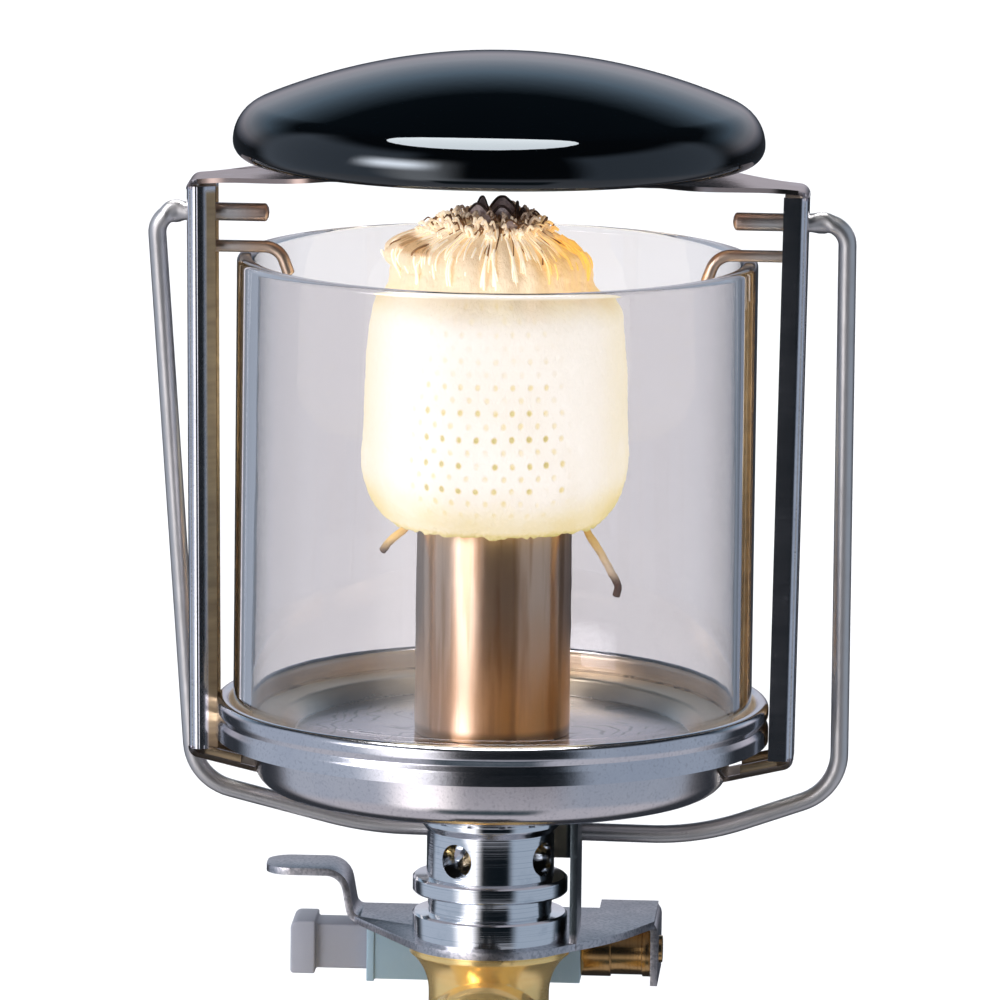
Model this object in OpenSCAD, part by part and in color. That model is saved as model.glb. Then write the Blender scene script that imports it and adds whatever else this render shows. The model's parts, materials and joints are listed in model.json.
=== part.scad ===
// Gas lantern that screws onto a valve cartridge: a glass globe held by a pressed frame under an
// enamelled shade, a mantle burner, a mixing tube, a control valve and a push-button igniter.
// Millimetres, +Z up, the front of the lantern towards -Y, origin in the foot of the cartridge collar.

/* [Glass globe] */
// Outside diameter of the glass
globe_d = 60; // [54:1:70]
// Wall of the glass
globe_wall = 2; // [1.5:0.1:3]
// Height of the glass
globe_h = 53.5; // [46:0.5:64]
// Play between the glass and the rim of the tray
globe_gap = 0.3; // [0.2:0.1:0.6]

/* [Tray and pan] */
// Sheet of the tray and the pan
base_sheet = 0.6; // [0.5:0.05:0.7]
// Width of the folded rim of the tray
rim_w = 1.7; // [1.7:0.1:2.4]
// Height of the rim above the seat of the glass
rim_h = 2.1; // [1.6:0.1:2.8]
// Height of the skirt that hangs from the rim
skirt_h = 4.5; // [4.2:0.1:6]
// Depth of the groove pressed round the skirt
skirt_groove = 0.35; // [0.1:0.05:0.4]
// Width of the seat between the outside of the glass and the sunk floor of the tray
seat_w = 7; // [6:0.5:11]
// How far the top of the pan stands in from the outside of the glass
pan_inset = 2.1; // [1.5:0.1:3.5]
// Height of the pan below the skirt
pan_h = 5.9; // [5.4:0.1:8]
// How far the pan wall draws in towards its floor, on each side
pan_taper = 0.7; // [0:0.1:1.2]
// Bend radius at the foot of the pan wall
pan_corner = 2.6; // [1.6:0.1:3]
// Diameter of the boss sunk in the middle of the pan
pan_boss_d = 20.6; // [19:0.2:26]
// Depth of the boss below the floor of the pan
pan_boss_h = 3.1; // [2:0.1:4]

/* [Burner] */
// Outside diameter of the burner tube
burner_d = 18; // [16:0.5:20]
// Wall of the burner tube
burner_wall = 1.1; // [0.8:0.1:1.6]
// Greatest diameter of the mantle
mantle_d = 30.8; // [27:0.2:34]
// Height of the mantle
mantle_h = 37.9; // [32:0.5:42]
// Thickness of the mantle's ash wall
mantle_wall = 0.5; // [0.4:0.05:0.7]
// Gathers round the top of the mantle
pleats = 14; // [10:1:18]
// Space between the tip of the mantle and the rivet above it
mantle_gap = 2.2; // [1:0.1:5]
// Diameter of the string that ties the mantle
string_d = 0.9; // [0.6:0.1:1.1]

/* [Mixing tube] */
// Outside diameter of the mixing tube
mixer_d = 14.8; // [14:0.2:15.4]
// Bore of the mixing tube
mixer_bore = 10; // [8:0.2:11]
// Height of the mixing tube from the bracket to its shoulder
mixer_h = 14.25; // [13.5:0.25:18]
// Diameter of the two rings on the mixing tube
ring_d = 18; // [17.6:0.2:20]
// Height of the lower ring
foot_ring_h = 3.2; // [2.4:0.1:3.6]
// Height of the groove between the rings
ring_groove_h = 2.25; // [1.5:0.1:2.6]
// Height of the upper ring
upper_ring_h = 2; // [1.4:0.1:2.4]
// Diameter of the shoulder under the pan
shoulder_d = 16.4; // [15.8:0.1:16.4]
// Diameter of an air hole
air_hole_d = 4; // [3:0.2:4.4]
// Number of air holes
air_holes = 4; // [3:1:5]
// Distance of the air holes below the shoulder
air_hole_drop = 4.2; // [3.8:0.1:4.5]
// Diameter of the thread that carries the burner tube
spigot_d = 12.4; // [11.8:0.1:13]
// Thickness of the toothed washer
washer_t = 0.6; // [0.4:0.1:1]

/* [Valve] */
// Height of the top of the valve body above the foot of the collar
valve_h = 33.2; // [32.4:0.2:38]
// Diameter of the flared top of the valve body
flare_d = 18.6; // [18:0.2:20]
// Diameter of the trunk of the valve body
trunk_d = 14; // [13:0.2:15]
// Height of the valve axis above the foot of the collar
valve_z = 23; // [22.6:0.1:24]
// Diameter of the boss that takes the spindle
boss_d = 14.4; // [13:0.2:15]
// Distance of the front of the boss from the lantern's axis
boss_l = 11; // [10.5:0.5:14]
// Diameter of the spindle where it leaves the gland nut
spindle_d = 4; // [3.2:0.1:4.4]
// Across the flats of the gland nut
gland_flats = 10; // [9:0.5:12]
// Diameter of the control knob
knob_d = 16; // [14:0.5:20]
// Length of the control knob
knob_l = 9.5; // [8:0.5:14]
// Space between the gland nut and the knob
knob_gap = 5.5; // [3:0.5:9]
// Diameter of the thread that joins valve body and mixing tube
stub_d = 11.8; // [11.2:0.1:12.4]
// Height of that thread above the flared top
stub_h = 5.8; // [4.6:0.1:6]

/* [Cartridge collar] */
// Diameter of the collar
collar_d = 28; // [25:0.5:34]
// Height of the collar
collar_h = 12; // [11.6:0.2:13]
// Diameter of the cartridge thread at its crests
thread_d = 10.2; // [9.8:0.1:10.8]
// Length of the cartridge thread
thread_l = 8; // [6:0.2:8.4]
// Finger flutes round the collar
flutes = 16; // [8:2:24]

/* [Igniter] */
// Sheet of the igniter bracket
bracket_sheet = 0.85; // [0.6:0.05:1]
// Length of the igniter case
case_l = 25.1; // [22:0.1:27]
// Depth of the igniter case, front to back
case_w = 8; // [7.4:0.1:9]
// Height of the igniter case
case_h = 7.1; // [6.6:0.1:8]
// Height of the sliding plunger
plunger_h = 5.3; // [4.4:0.1:5.4]
// Depth of the sliding plunger, front to back
plunger_w = 5.5; // [4.6:0.1:6]
// Travel of the push button
button_travel = 4.5; // [3:0.1:5]
// Length of the head of the push button
button_l = 2.9; // [2.4:0.1:4]
// Height of the finger tab above the bracket plate
tab_h = 6; // [4.4:0.1:7]
// Length of the finger tab
tab_l = 9.2; // [6:0.1:12]

/* [Frame] */
// Sheet of the frame
frame_sheet = 0.55; // [0.45:0.05:0.7]
// Width of the posts
post_w = 6.6; // [5.6:0.1:8]
// Depth of the channel section of a post
post_flange = 2.9; // [2.2:0.1:3.4]
// Space between a post and the tray at the top of the post
post_clear = 0.9; // [0.9:0.1:2]
// How far each post leans in towards its foot
post_toe = 0.8; // [0:0.1:0.8]
// Space between the glass and the strap over it
strap_gap = 8.2; // [7.6:0.1:12]
// Rise of the strap from the posts to its middle
strap_rise = 1.45; // [0.5:0.05:3]
// Width of the middle of the strap
strap_w = 19; // [14:0.5:26]
// Height of the foot bends above the floor of the pan
foot_h = 3.6; // [3.4:0.1:4.2]
// Slope of the feet down to the pan, in degrees
foot_slope = 13; // [8:0.5:14]

/* [Globe hooks] */
// Wire of the hooks that hold the glass down
hook_wire = 1.4; // [1:0.1:1.6]
// How far a hook reaches past the inside of the glass
hook_reach = 3.4; // [2.6:0.1:5]
// How far a hook hangs down inside the glass
hook_drop = 2.8; // [2.4:0.1:4]

/* [Bail] */
// Wire of the bail
bail_wire = 2.1; // [1.6:0.1:2.4]
// Height of the strap above the bail's pivot
pivot_drop = 3.5; // [3:0.1:4]
// Length of a pivot pin inside the post
pin_l = 8.9; // [6:0.1:10]
// Distance of the bail's legs outside the posts
bail_gap = 3.7; // [3.4:0.1:6]
// How far the loop hangs below the floor of the pan
bail_hang = 7.4; // [6.6:0.1:8]
// How far each leg draws in towards the loop
bail_taper = 1.8; // [0:0.1:2.4]
// How far the loop hangs off to the right
bail_skew = 2.4; // [0:0.1:2.6]

/* [Shade] */
// Diameter of the shade
shade_d = 61.2; // [52:0.2:68]
// Sheet of the shade
shade_sheet = 0.8; // [0.6:0.1:1]
// Radius of the dome
dome_r = 70; // [55:1:110]
// Bend radius between the dome and the rim
rim_r = 4.8; // [3:0.1:6]
// Bend radius of the lip below the rim
lip_r = 2; // [1.5:0.1:3]
// Height of the spacer between strap and shade
spacer_h = 12.4; // [11.8:0.1:16]
// Diameter of the spacer
spacer_d = 8; // [6:0.2:12]

/* [Hidden] */
$fn = 64;

// Clearances: a thread or press fit is flush, a turning fit and an assembly fit are not
turn_fit = 0.06;
slip_fit = 0.15;
free_gap = 0.3;

// Levels from the foot of the collar upwards
plate_z = valve_h + bracket_sheet;
shoulder_z = plate_z + mixer_h;
boss_z = shoulder_z + washer_t;
pan_z = boss_z + pan_boss_h;
skirt_z = pan_z + pan_h;
floor_z = skirt_z + base_sheet;
rim_z = skirt_z + skirt_h;
seat_z = rim_z - rim_h;
globe_top = seat_z + globe_h;
strap_z = globe_top + strap_gap;
pivot_z = strap_z - pivot_drop;
middle_z = strap_z + strap_rise;
rivet_head = 0.7;
mantle_z = middle_z - rivet_head - mantle_gap - mantle_h;
stub_top = valve_h + stub_h;

// Radii from the glass outwards
globe_r = globe_d / 2;
tray_r = globe_r + globe_gap + rim_w;
pan_r = globe_r - pan_inset;
burner_r = burner_d / 2;
spigot_r = spigot_d / 2;
ring_r = ring_d / 2;
flare_r = flare_d / 2;
post_x = tray_r + post_clear + post_flange;

function unit(v) = v / norm(v);
function heading(v) = atan2(v.y, v.x);
function short_turn(t) = t > 180 ? t - 360 : t < -180 ? t + 360 : t;
function reversed(list) = [for (i = [len(list) - 1:-1:0]) list[i]];
function mirrored(list) = [for (p = list) [-p.x, p.y]];

// Points of an arc, counted from step first so that joined arcs share their end point
function arc(centre, r, from, turn, n, first = 0) =
    [for (i = [first:n]) centre + r * [cos(from + turn * i / n), sin(from + turn * i / n)]];

// The bend at b between a and c: its centre, start heading, turn, run-up along the sides and radius
function bend(a, b, c, r) =
    let (u = unit(a - b))
    let (v = unit(c - b))
    let (half = acos(u * v) / 2)
    let (run = r / tan(half))
    let (centre = b + unit(u + v) * r / sin(half))
    let (from = heading(b + u * run - centre))
    [centre, from, short_turn(heading(b + v * run - centre) - from), run, r];

// One corner of a path as points; a radius of 0 keeps it sharp
function corner(a, b, c, r, n) =
    let (k = bend(a, b, c, r))
    r == 0 ? [b] : arc(k[0], r, k[1], k[2], n);

// Path p with each inner corner rounded to its radius in r
function rounded(p, r, n = 6) = concat(
    [p[0]],
    [for (i = [1:len(p) - 2]) each corner(p[i - 1], p[i], p[i + 1], r[i - 1], n)],
    [p[len(p) - 1]]);

function side_of(p, i) =
    let (d = unit(p[min(i + 1, len(p) - 1)] - p[max(i - 1, 0)]))
    [-d.y, d.x];
function beside(p, d) = [for (i = [0:len(p) - 1]) p[i] + d * side_of(p, i)];

// Section of a sheet of thickness t along the path p
module sheet(p, t) {
    polygon(concat(beside(p, t / 2), reversed(beside(p, -t / 2))));
}

// Shape drawn in XZ, extruded along Y between y0 and y1
module along_y(y0, y1) {
    translate([0, y1, 0])
        rotate([90, 0, 0])
            linear_extrude(height = y1 - y0)
                children();
}

// Shape turned about an axis along X or along -Y through the given height
module turned_x(y, z) {
    translate([0, y, z])
        rotate([0, 90, 0])
            rotate_extrude()
                children();
}
module turned_front(z) {
    translate([0, 0, z])
        rotate([90, 0, 0])
            rotate_extrude()
                children();
}

// Profile step of a turned piece: radius r0 to r1 between heights z0 and z1
module step(r0, r1, z0, z1) {
    translate([r0, z0])
        square([r1 - r0, z1 - z0]);
}

// Tube of diameter d and n sides along a route in space, closed at both ends; ref is never along the route
module tube(route, d, n, ref) {
    last = len(route) - 1;
    points = [for (i = [0:last])
        let (t = unit(route[min(i + 1, last)] - route[max(i - 1, 0)]))
        let (u = unit(cross(t, ref)))
        let (v = cross(u, t))
        each [for (k = [0:n - 1]) route[i] + d / 2 * (u * cos(360 * k / n) + v * sin(360 * k / n))]];
    sides = [for (i = [0:last - 1], k = [0:n - 1])
        let (a = i * n + k)
        let (b = i * n + (k + 1) % n)
        each [[a, b + n, a + n], [a, b, b + n]]];
    ends = [[for (k = [n - 1:-1:0]) k], [for (k = [0:n - 1]) last * n + k]];
    polyhedron(points = points, faces = concat(sides, ends), convexity = 6);
}

// Round wire in the XZ plane along the points p, bent to radius r[i] at each inner point
module wire(p, r, d) {
    tube([for (q = rounded(p, r, 7)) [q.x, 0, q.y]], d, 10, [0, 1, 0]);
}

// Cartridge collar and what it holds
thread_r = thread_d / 2;
seal_r = thread_r - 0.7;
seal_h = 1.6;
seal_top = thread_l + 0.2 + seal_h;
spigot_foot_r = thread_r + 0.9;
flute_r = 1.7;
collar_r = collar_d / 2;
collar_edge = 0.8;

module cartridge_collar() {
    color("goldenrod")
        difference() {
            rotate_extrude()
                polygon([[0, 0], [collar_r - collar_edge, 0], [collar_r, collar_edge],
                    [collar_r, collar_h * 0.6], [collar_r * 0.8, collar_h], [0, collar_h]]);
            translate([0, 0, -1])
                cylinder(r = thread_r, h = thread_l + 1);
            cylinder(r = seal_r, h = collar_h);
            translate([0, 0, seal_top])
                cylinder(r = spigot_foot_r, h = collar_h);
            for (i = [0:flutes - 1])
                rotate([0, 0, i * 360 / flutes])
                    translate([collar_r + flute_r * 0.6, 0, collar_h * 0.12])
                        cylinder(r = flute_r, h = collar_h);
        }
}

filter_r = 2;
filter_h = 1.5;
filter_z = seal_top + 3.2;
gas_way = 0.6;

module cartridge_seal() {
    color("dimgray")
        rotate_extrude()
            step(filter_r + 0.4, seal_r, seal_top - seal_h, seal_top);
}

module pusher_pin() {
    tip_r = 1.4;
    tip_z = thread_l + 0.4;
    color("gold")
        difference() {
            rotate_extrude() {
                step(gas_way, tip_r, tip_z, seal_top);
                step(gas_way, filter_r, seal_top, filter_z);
            }
            translate([-filter_r, -gas_way / 2, tip_z - 1])
                cube([2 * filter_r, gas_way, 1.8]);
        }
}

module gas_filter() {
    color("peru")
        translate([0, 0, filter_z])
            cylinder(r = filter_r, h = filter_h);
}

// Control valve, its spindle lying towards the front
trunk_r = trunk_d / 2;
boss_r = boss_d / 2;
spindle_r = spindle_d / 2;
chamber_r = spindle_r + 0.96;
seat_y = 1.6;
foot_flange_h = 2.5;
flare_h = 4.8;
flare_lip = 0.8;
flare_in = flare_r - trunk_r;
flare_arc = (flare_in * flare_in + flare_h * flare_h) / (2 * flare_in);
jet_r = 2;

module valve_body() {
    flare_z = valve_h - flare_lip - flare_h;
    out_lean = atan2(seat_y + 2, valve_h - valve_z);
    color("goldenrod")
        difference() {
            union() {
                rotate_extrude() {
                    step(0, spigot_foot_r, seal_top, collar_h);
                    step(0, trunk_r + 3, collar_h, collar_h + foot_flange_h);
                    step(0, trunk_r, collar_h + foot_flange_h, flare_z);
                    difference() {
                        step(0, flare_r, flare_z, valve_h);
                        translate([trunk_r + flare_arc, flare_z])
                            circle(r = flare_arc);
                    }
                    step(0, stub_d / 2, valve_h, stub_top);
                }
                turned_front(valve_z) {
                    step(0, boss_r, 0, boss_l - 0.6);
                    polygon([[0, boss_l - 0.6], [boss_r, boss_l - 0.6], [boss_r - 0.6, boss_l], [0, boss_l]]);
                }
            }
            translate([0, 0, seal_top - 1])
                cylinder(r = filter_r, h = filter_z + filter_h - seal_top + 1);
            cylinder(r = gas_way, h = valve_z);
            turned_front(valve_z) {
                step(0, gas_way + 0.2, -gas_way, boss_l);
                step(0, chamber_r, seat_y, boss_l + 1);
            }
            translate([0, -seat_y - 2, valve_z])
                rotate([-out_lean, 0, 0])
                    cylinder(r = gas_way, h = stub_top - valve_z);
            translate([0, 0, stub_top - 3])
                cylinder(r = jet_r, h = 4);
        }
}

// Lengths along the spindle, counted from the lantern's axis towards the front
thread_y0 = seat_y + 1.4;
groove_y0 = boss_l - 2.2;
groove_y1 = boss_l - 0.8;
gland_h = 4;
knob_y0 = boss_l + gland_h + knob_gap;
knob_y1 = knob_y0 + knob_l;
shaft_y1 = knob_y1 - 3;
screw_r = 1.1;
screw_l = 4;
flat_cut = 0.7;

module valve_spindle() {
    groove_r = spindle_r - 0.4;
    color("lightsteelblue")
        difference() {
            turned_front(valve_z) {
                polygon([[0, seat_y - 0.6], [gas_way * 0.5, seat_y - 0.6], [spindle_r * 0.75, thread_y0],
                    [0, thread_y0]]);
                step(0, spindle_r + 0.9, thread_y0, groove_y0);
                step(0, groove_r, groove_y0, groove_y1);
                step(0, spindle_r, groove_y1, shaft_y1);
            }
            turned_front(valve_z)
                step(0, screw_r, shaft_y1 - screw_l, shaft_y1 + 1);
            translate([-spindle_r, -shaft_y1 - 1, valve_z + spindle_r - flat_cut])
                cube([2 * spindle_r, shaft_y1 + 1 - knob_y0, spindle_r]);
        }
}

module spindle_seal() {
    color("black")
        turned_front(valve_z)
            step(spindle_r - 0.4, spindle_r + 0.9, groove_y0, groove_y1);
}

module gland_nut() {
    color("gold")
        difference() {
            translate([0, -boss_l, valve_z])
                rotate([90, 0, 0])
                    cylinder(d = gland_flats / cos(30), h = gland_h, $fn = 6);
            turned_front(valve_z)
                step(0, spindle_r + turn_fit, boss_l - 1, boss_l + gland_h + 1);
        }
}

module control_knob() {
    knob_r = knob_d / 2;
    knob_flutes = 8;
    dish_r = knob_r * 0.55;
    hub_y = shaft_y1 + 0.6;
    color("black")
        difference() {
            turned_front(valve_z)
                polygon([[0, knob_y0], [knob_r - 2.4, knob_y0], [knob_r - 2.4, knob_y0 + 1.6],
                    [knob_r, knob_y0 + 2.4], [knob_r, knob_y1 - 0.8], [knob_r - 0.8, knob_y1], [0, knob_y1]]);
            for (i = [0:knob_flutes - 1])
                translate([0, 0, valve_z])
                    rotate([0, i * 360 / knob_flutes, 0])
                        translate([knob_r + 1.1, -knob_y1 - 1, 0])
                            rotate([-90, 0, 0])
                                cylinder(r = 2.1, h = knob_l);
            difference() {
                turned_front(valve_z)
                    step(0, spindle_r, knob_y0 - 1, shaft_y1);
                translate([-spindle_r, -shaft_y1, valve_z + spindle_r - flat_cut])
                    cube([2 * spindle_r, knob_l, spindle_r]);
            }
            turned_front(valve_z) {
                step(0, screw_r, shaft_y1 - 1, knob_y1);
                step(0, dish_r, hub_y, knob_y1 + 1);
            }
        }
}

module knob_screw() {
    head_r = 2.1;
    head_h = 1.5;
    hub_y = shaft_y1 + 0.6;
    color("silver")
        difference() {
            turned_front(valve_z) {
                step(0, screw_r, shaft_y1 - screw_l, hub_y);
                step(0, head_r, hub_y, hub_y + head_h);
            }
            translate([-head_r - 1, -hub_y - head_h - 1, valve_z - 0.3])
                cube([2 * head_r + 2, 1.6, 0.6]);
        }
}

module gas_jet() {
    hex_r = 3.1;
    nose_z = stub_top + 2;
    tip_z = stub_top + 4.3;
    color("gold")
        difference() {
            union() {
                translate([0, 0, stub_top])
                    cylinder(r = hex_r, h = 2, $fn = 6);
                rotate_extrude() {
                    step(0, jet_r, stub_top - 2.6, stub_top);
                    polygon([[0, nose_z], [jet_r, nose_z], [0.8, tip_z], [0, tip_z]]);
                }
            }
            rotate_extrude() {
                step(0, 0.9, stub_top - 3, nose_z + 1);
                step(0, 0.25, nose_z, tip_z + 1);
            }
        }
}

// Igniter and its bracket
igniter_y = flare_r + 3.2 + case_w / 2;
case_x1 = ring_r + 1;
case_x0 = case_x1 - case_l;
case_z = valve_h - case_h;
igniter_z = case_z + case_h / 2;
arm_front = igniter_y - case_w / 2 - 2.4;
arm_back = igniter_y + case_w / 2 - 2.2;
arm_x0 = case_x0 - 1.3;
cap_l = 8.3;
flange_x = case_x1 + cap_l + bracket_sheet / 2;
pin_end_r = 1.6;
upright_x = ring_r + 0.4;
upright_y = shoulder_d / 2 - 0.45;
upright_back = upright_y + bracket_sheet;

// Where the line from point p touches a circle of radius r about the axis, on the side given by sense
function tangent(p, r, sense) =
    let (at = heading(p) + sense * acos(r / norm(p)))
    r * [cos(at), sin(at)];

module bracket_plate() {
    nose_r = ring_r + 0.7;
    left = [arm_x0, arm_front];
    right = [flange_x, arm_front + 0.8];
    left_touch = tangent(left, nose_r, 1);
    right_touch = tangent(right, nose_r, -1);
    nose_from = heading(left_touch);
    nose_turn = short_turn(heading(right_touch) - nose_from);
    swell = (right + right_touch) / 2 + [1.1, -0.8];
    step_x = ring_r + 3.2;
    step_y = igniter_y + case_w / 2 + 2.8;
    polygon(concat(
        [left],
        arc([0, 0], nose_r, nose_from, nose_turn, 12),
        corner(right_touch, swell, right, 30, 6),
        [right, [flange_x, step_y], [step_x, step_y], [step_x, arm_back], [arm_x0, arm_back]]));
}

module igniter_bracket() {
    mid_z = valve_h + bracket_sheet / 2;
    tab_z = mid_z + tab_h - bracket_sheet / 2;
    tab_x = arm_x0 - 1.4;
    tab_end = tab_x - tab_l;
    tab_round = 3;
    flange_y = arm_front + 0.9;
    color("lightslategray")
        difference() {
            union() {
                translate([0, 0, valve_h])
                    linear_extrude(height = bracket_sheet)
                        bracket_plate();
                intersection() {
                    along_y(arm_front, arm_back)
                        sheet(rounded([[arm_x0 + 2, mid_z], [arm_x0 - 0.4, mid_z], [tab_x, tab_z], [tab_end, tab_z]],
                            [1.4, 2.4]), bracket_sheet);
                    linear_extrude(height = plate_z + tab_h + 1)
                        polygon(rounded([[0, arm_front], [tab_end, arm_front], [tab_end, arm_back], [0, arm_back]],
                            [tab_round, tab_round]));
                }
                along_y(flange_y, igniter_y + case_w / 2 + 2.8)
                    sheet(rounded([[case_x1 + 2, mid_z], [flange_x, mid_z], [flange_x, case_z + 0.2]], [1]),
                        bracket_sheet);
                translate([upright_x, -3, valve_h])
                    cube([bracket_sheet, upright_back + 3, boss_z - valve_h]);
                translate([3, upright_y, plate_z + 8])
                    cube([upright_x + bracket_sheet - 3, bracket_sheet, boss_z - plate_z - 8]);
            }
            cylinder(r = stub_d / 2 + slip_fit, h = plate_z + 1);
            turned_x(igniter_y, igniter_z)
                step(0, pin_end_r + slip_fit, flange_x - 1, flange_x + 1);
        }
}

plunger_in = 5.2;
pocket_end = case_x0 + plunger_in + button_travel + 0.5;
button_out = 6.1;
plunger_gap = 0.12;

module igniter_case() {
    lip = 0.25;
    lip_l = 0.9;
    color("steelblue")
        difference() {
            union() {
                translate([case_x0, igniter_y - case_w / 2, case_z])
                    cube([case_l, case_w, case_h]);
                translate([case_x0, igniter_y - case_w / 2 - lip, case_z - lip])
                    cube([lip_l, case_w + 2 * lip, case_h + lip]);
            }
            translate([case_x0 - 1, igniter_y - plunger_w / 2 - plunger_gap, igniter_z - plunger_h / 2 - plunger_gap])
                cube([pocket_end - case_x0 + 1, plunger_w + 2 * plunger_gap, plunger_h + 2 * plunger_gap]);
        }
}

module igniter_button() {
    head_x0 = case_x0 - button_out - button_l;
    head_w = plunger_w + 2.1;
    head_h = plunger_h + 1;
    bevel = 0.9;
    color("slategray")
        union() {
            translate([head_x0 + button_l - 0.5, igniter_y - plunger_w / 2, igniter_z - plunger_h / 2])
                cube([button_out + plunger_in + 0.5, plunger_w, plunger_h]);
            along_y(igniter_y - head_w / 2, igniter_y + head_w / 2)
                translate([head_x0, igniter_z - head_h / 2])
                    polygon(rounded([[button_l, 0], [0, 0], [0, head_h], [button_l, head_h]], [0.4, bevel]));
        }
}

module igniter_end_cap() {
    cap_r = case_h / 2 - 0.2;
    cap_x1 = case_x1 + cap_l;
    color("darkgoldenrod")
        turned_x(igniter_y, igniter_z) {
            step(0, cap_r, case_x1, case_x1 + 3.5);
            step(0, cap_r - 0.25, case_x1 + 3.5, cap_x1 - 1.1);
            step(0, cap_r - 0.05, cap_x1 - 1.1, cap_x1);
            step(0, pin_end_r, cap_x1, cap_x1 + bracket_sheet + 0.4);
        }
}

// Mixing tube and the washer that locks it
module mixing_tube() {
    body_r = mixer_d / 2;
    bore_r = mixer_bore / 2;
    shoulder_r = shoulder_d / 2;
    ring1_z = plate_z + foot_ring_h;
    ring2_z = ring1_z + ring_groove_h;
    body_z = ring2_z + upper_ring_h;
    air_turn = 15;
    top_z = floor_z + 3.5;
    edge = 0.25;
    color("lightgray")
        difference() {
            rotate_extrude()
                difference() {
                    polygon([[0, plate_z], [ring_r, plate_z], [ring_r, ring1_z - edge], [ring_r - edge, ring1_z],
                        [body_r - 0.2, ring1_z], [body_r - 0.2, ring2_z], [ring_r - edge, ring2_z],
                        [ring_r, ring2_z + edge], [ring_r, body_z - edge], [ring_r - edge, body_z],
                        [body_r, body_z], [body_r, shoulder_z - 1.4], [shoulder_r, shoulder_z - 0.5],
                        [shoulder_r, shoulder_z], [spigot_r, shoulder_z], [spigot_r, top_z], [0, top_z]]);
                    step(0, stub_d / 2, plate_z - 1, stub_top);
                    step(0, bore_r, stub_top - 1, top_z + 1);
                }
            for (i = [0:air_holes - 1])
                translate([0, 0, shoulder_z - air_hole_drop])
                    rotate([0, 0, air_turn + 45 + i * 360 / air_holes])
                        rotate([0, 90, 0])
                            cylinder(d = air_hole_d, h = ring_d);
        }
}

module toothed_washer() {
    teeth = 14;
    washer_r = shoulder_d / 2;
    color("silver")
        translate([0, 0, shoulder_z])
            linear_extrude(height = washer_t)
                difference() {
                    circle(r = washer_r);
                    circle(r = spigot_r + slip_fit);
                    for (i = [0:teeth - 1])
                        rotate([0, 0, i * 360 / teeth])
                            translate([washer_r - 0.9, -0.45])
                                square([2, 0.9]);
                }
}

// Pan and tray, pressed from sheet and turned about the axis
hole_r = spigot_r + slip_fit;
electrode_y = burner_r + 3;
insulator_r = 1.6;

module base_pan() {
    t = base_sheet / 2;
    wall_r = pan_r - t;
    boss_r0 = pan_boss_d / 2 - t;
    color("lightsteelblue")
        difference() {
            rotate_extrude()
                sheet(rounded([[hole_r, boss_z + t], [boss_r0, boss_z + t], [boss_r0 + 1.2, pan_z + t],
                    [wall_r - pan_taper, pan_z + t], [wall_r, skirt_z], [wall_r, seat_z - base_sheet]],
                    [0.8, 0.8, pan_corner, 2]), base_sheet);
            for (side = [0, 1])
                mirror([side, 0, 0])
                    translate([foot_knee.x, 0, foot_knee.y])
                        rotate([0, -foot_slope, 0])
                            translate([-foot_run, -post_w / 2 - free_gap, -frame_sheet / 2 - free_gap])
                                cube([foot_run, post_w + 2 * free_gap, frame_sheet + 2 * free_gap]);
        }
}

module globe_tray() {
    t = base_sheet / 2;
    wall_r = globe_r + globe_gap + t;
    skirt_r = tray_r - t;
    fold = (skirt_r - wall_r) / 2 - 0.02;
    dip_z = (rim_z + skirt_z) / 2;
    floor_r = globe_r - seat_w;
    color("gainsboro")
        difference() {
            rotate_extrude()
                sheet(rounded([[hole_r, floor_z - t], [floor_r, floor_z - t], [floor_r + 1.6, seat_z - t],
                    [wall_r, seat_z - t], [wall_r, rim_z - t], [skirt_r, rim_z - t],
                    [skirt_r, dip_z + 0.8], [skirt_r - skirt_groove, dip_z], [skirt_r, dip_z - 0.8],
                    [skirt_r, skirt_z]],
                    [0.7, 0.7, 0.35, fold, fold, 0.6, 0.5, 0.6], 5), base_sheet);
            translate([0, electrode_y, skirt_z - 1])
                cylinder(r = insulator_r + slip_fit, h = 2 + base_sheet);
        }
}

// Burner tube with the groove that takes the tie, its gauze and its head
tie_z = mantle_z + 1.2;
tube_top = tie_z + 3.8;
tube_bore = burner_r - burner_wall;
gauze_h = 0.8;

module burner_tube() {
    base_h = 3.5;
    groove_h = 2.2;
    groove_d = 0.3;
    ledge = 1;
    color("tan")
        rotate_extrude()
            difference() {
                step(spigot_r, burner_r, floor_z, tube_top);
                step(0, tube_bore, floor_z + base_h, tube_top - 3);
                step(0, tube_bore + 0.4, tube_top - 3 + ledge, tube_top + 1);
                step(0, tube_bore - 0.3, tube_top - 4, tube_top);
                step(burner_r - groove_d, burner_r + 1, tie_z - groove_h / 2, tie_z + groove_h / 2);
            }
}

module burner_gauze() {
    color("dimgray")
        translate([0, 0, tube_top - 2])
            cylinder(r = tube_bore + 0.4, h = gauze_h);
}

module burner_head() {
    head_r = burner_r;
    head_h = 7;
    wall = 0.8;
    slots = 10;
    foot = tube_top - 2 + gauze_h;
    color("gray")
        difference() {
            rotate_extrude()
                difference() {
                    union() {
                        step(0, tube_bore + 0.4, foot, tube_top);
                        step(0, head_r, tube_top, tube_top + head_h - 1.5);
                        polygon([[0, tube_top + head_h - 1.5], [head_r, tube_top + head_h - 1.5],
                            [head_r - 2.5, tube_top + head_h], [0, tube_top + head_h]]);
                    }
                    step(0, tube_bore - 0.4, foot - 1, tube_top + head_h - 1.5 - wall);
                }
            for (i = [0:slots - 1])
                rotate([0, 0, i * 360 / slots])
                    translate([tube_bore - 2, -0.7, tube_top + 1])
                        cube([4, 1.4, head_h - 4]);
        }
}

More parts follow.
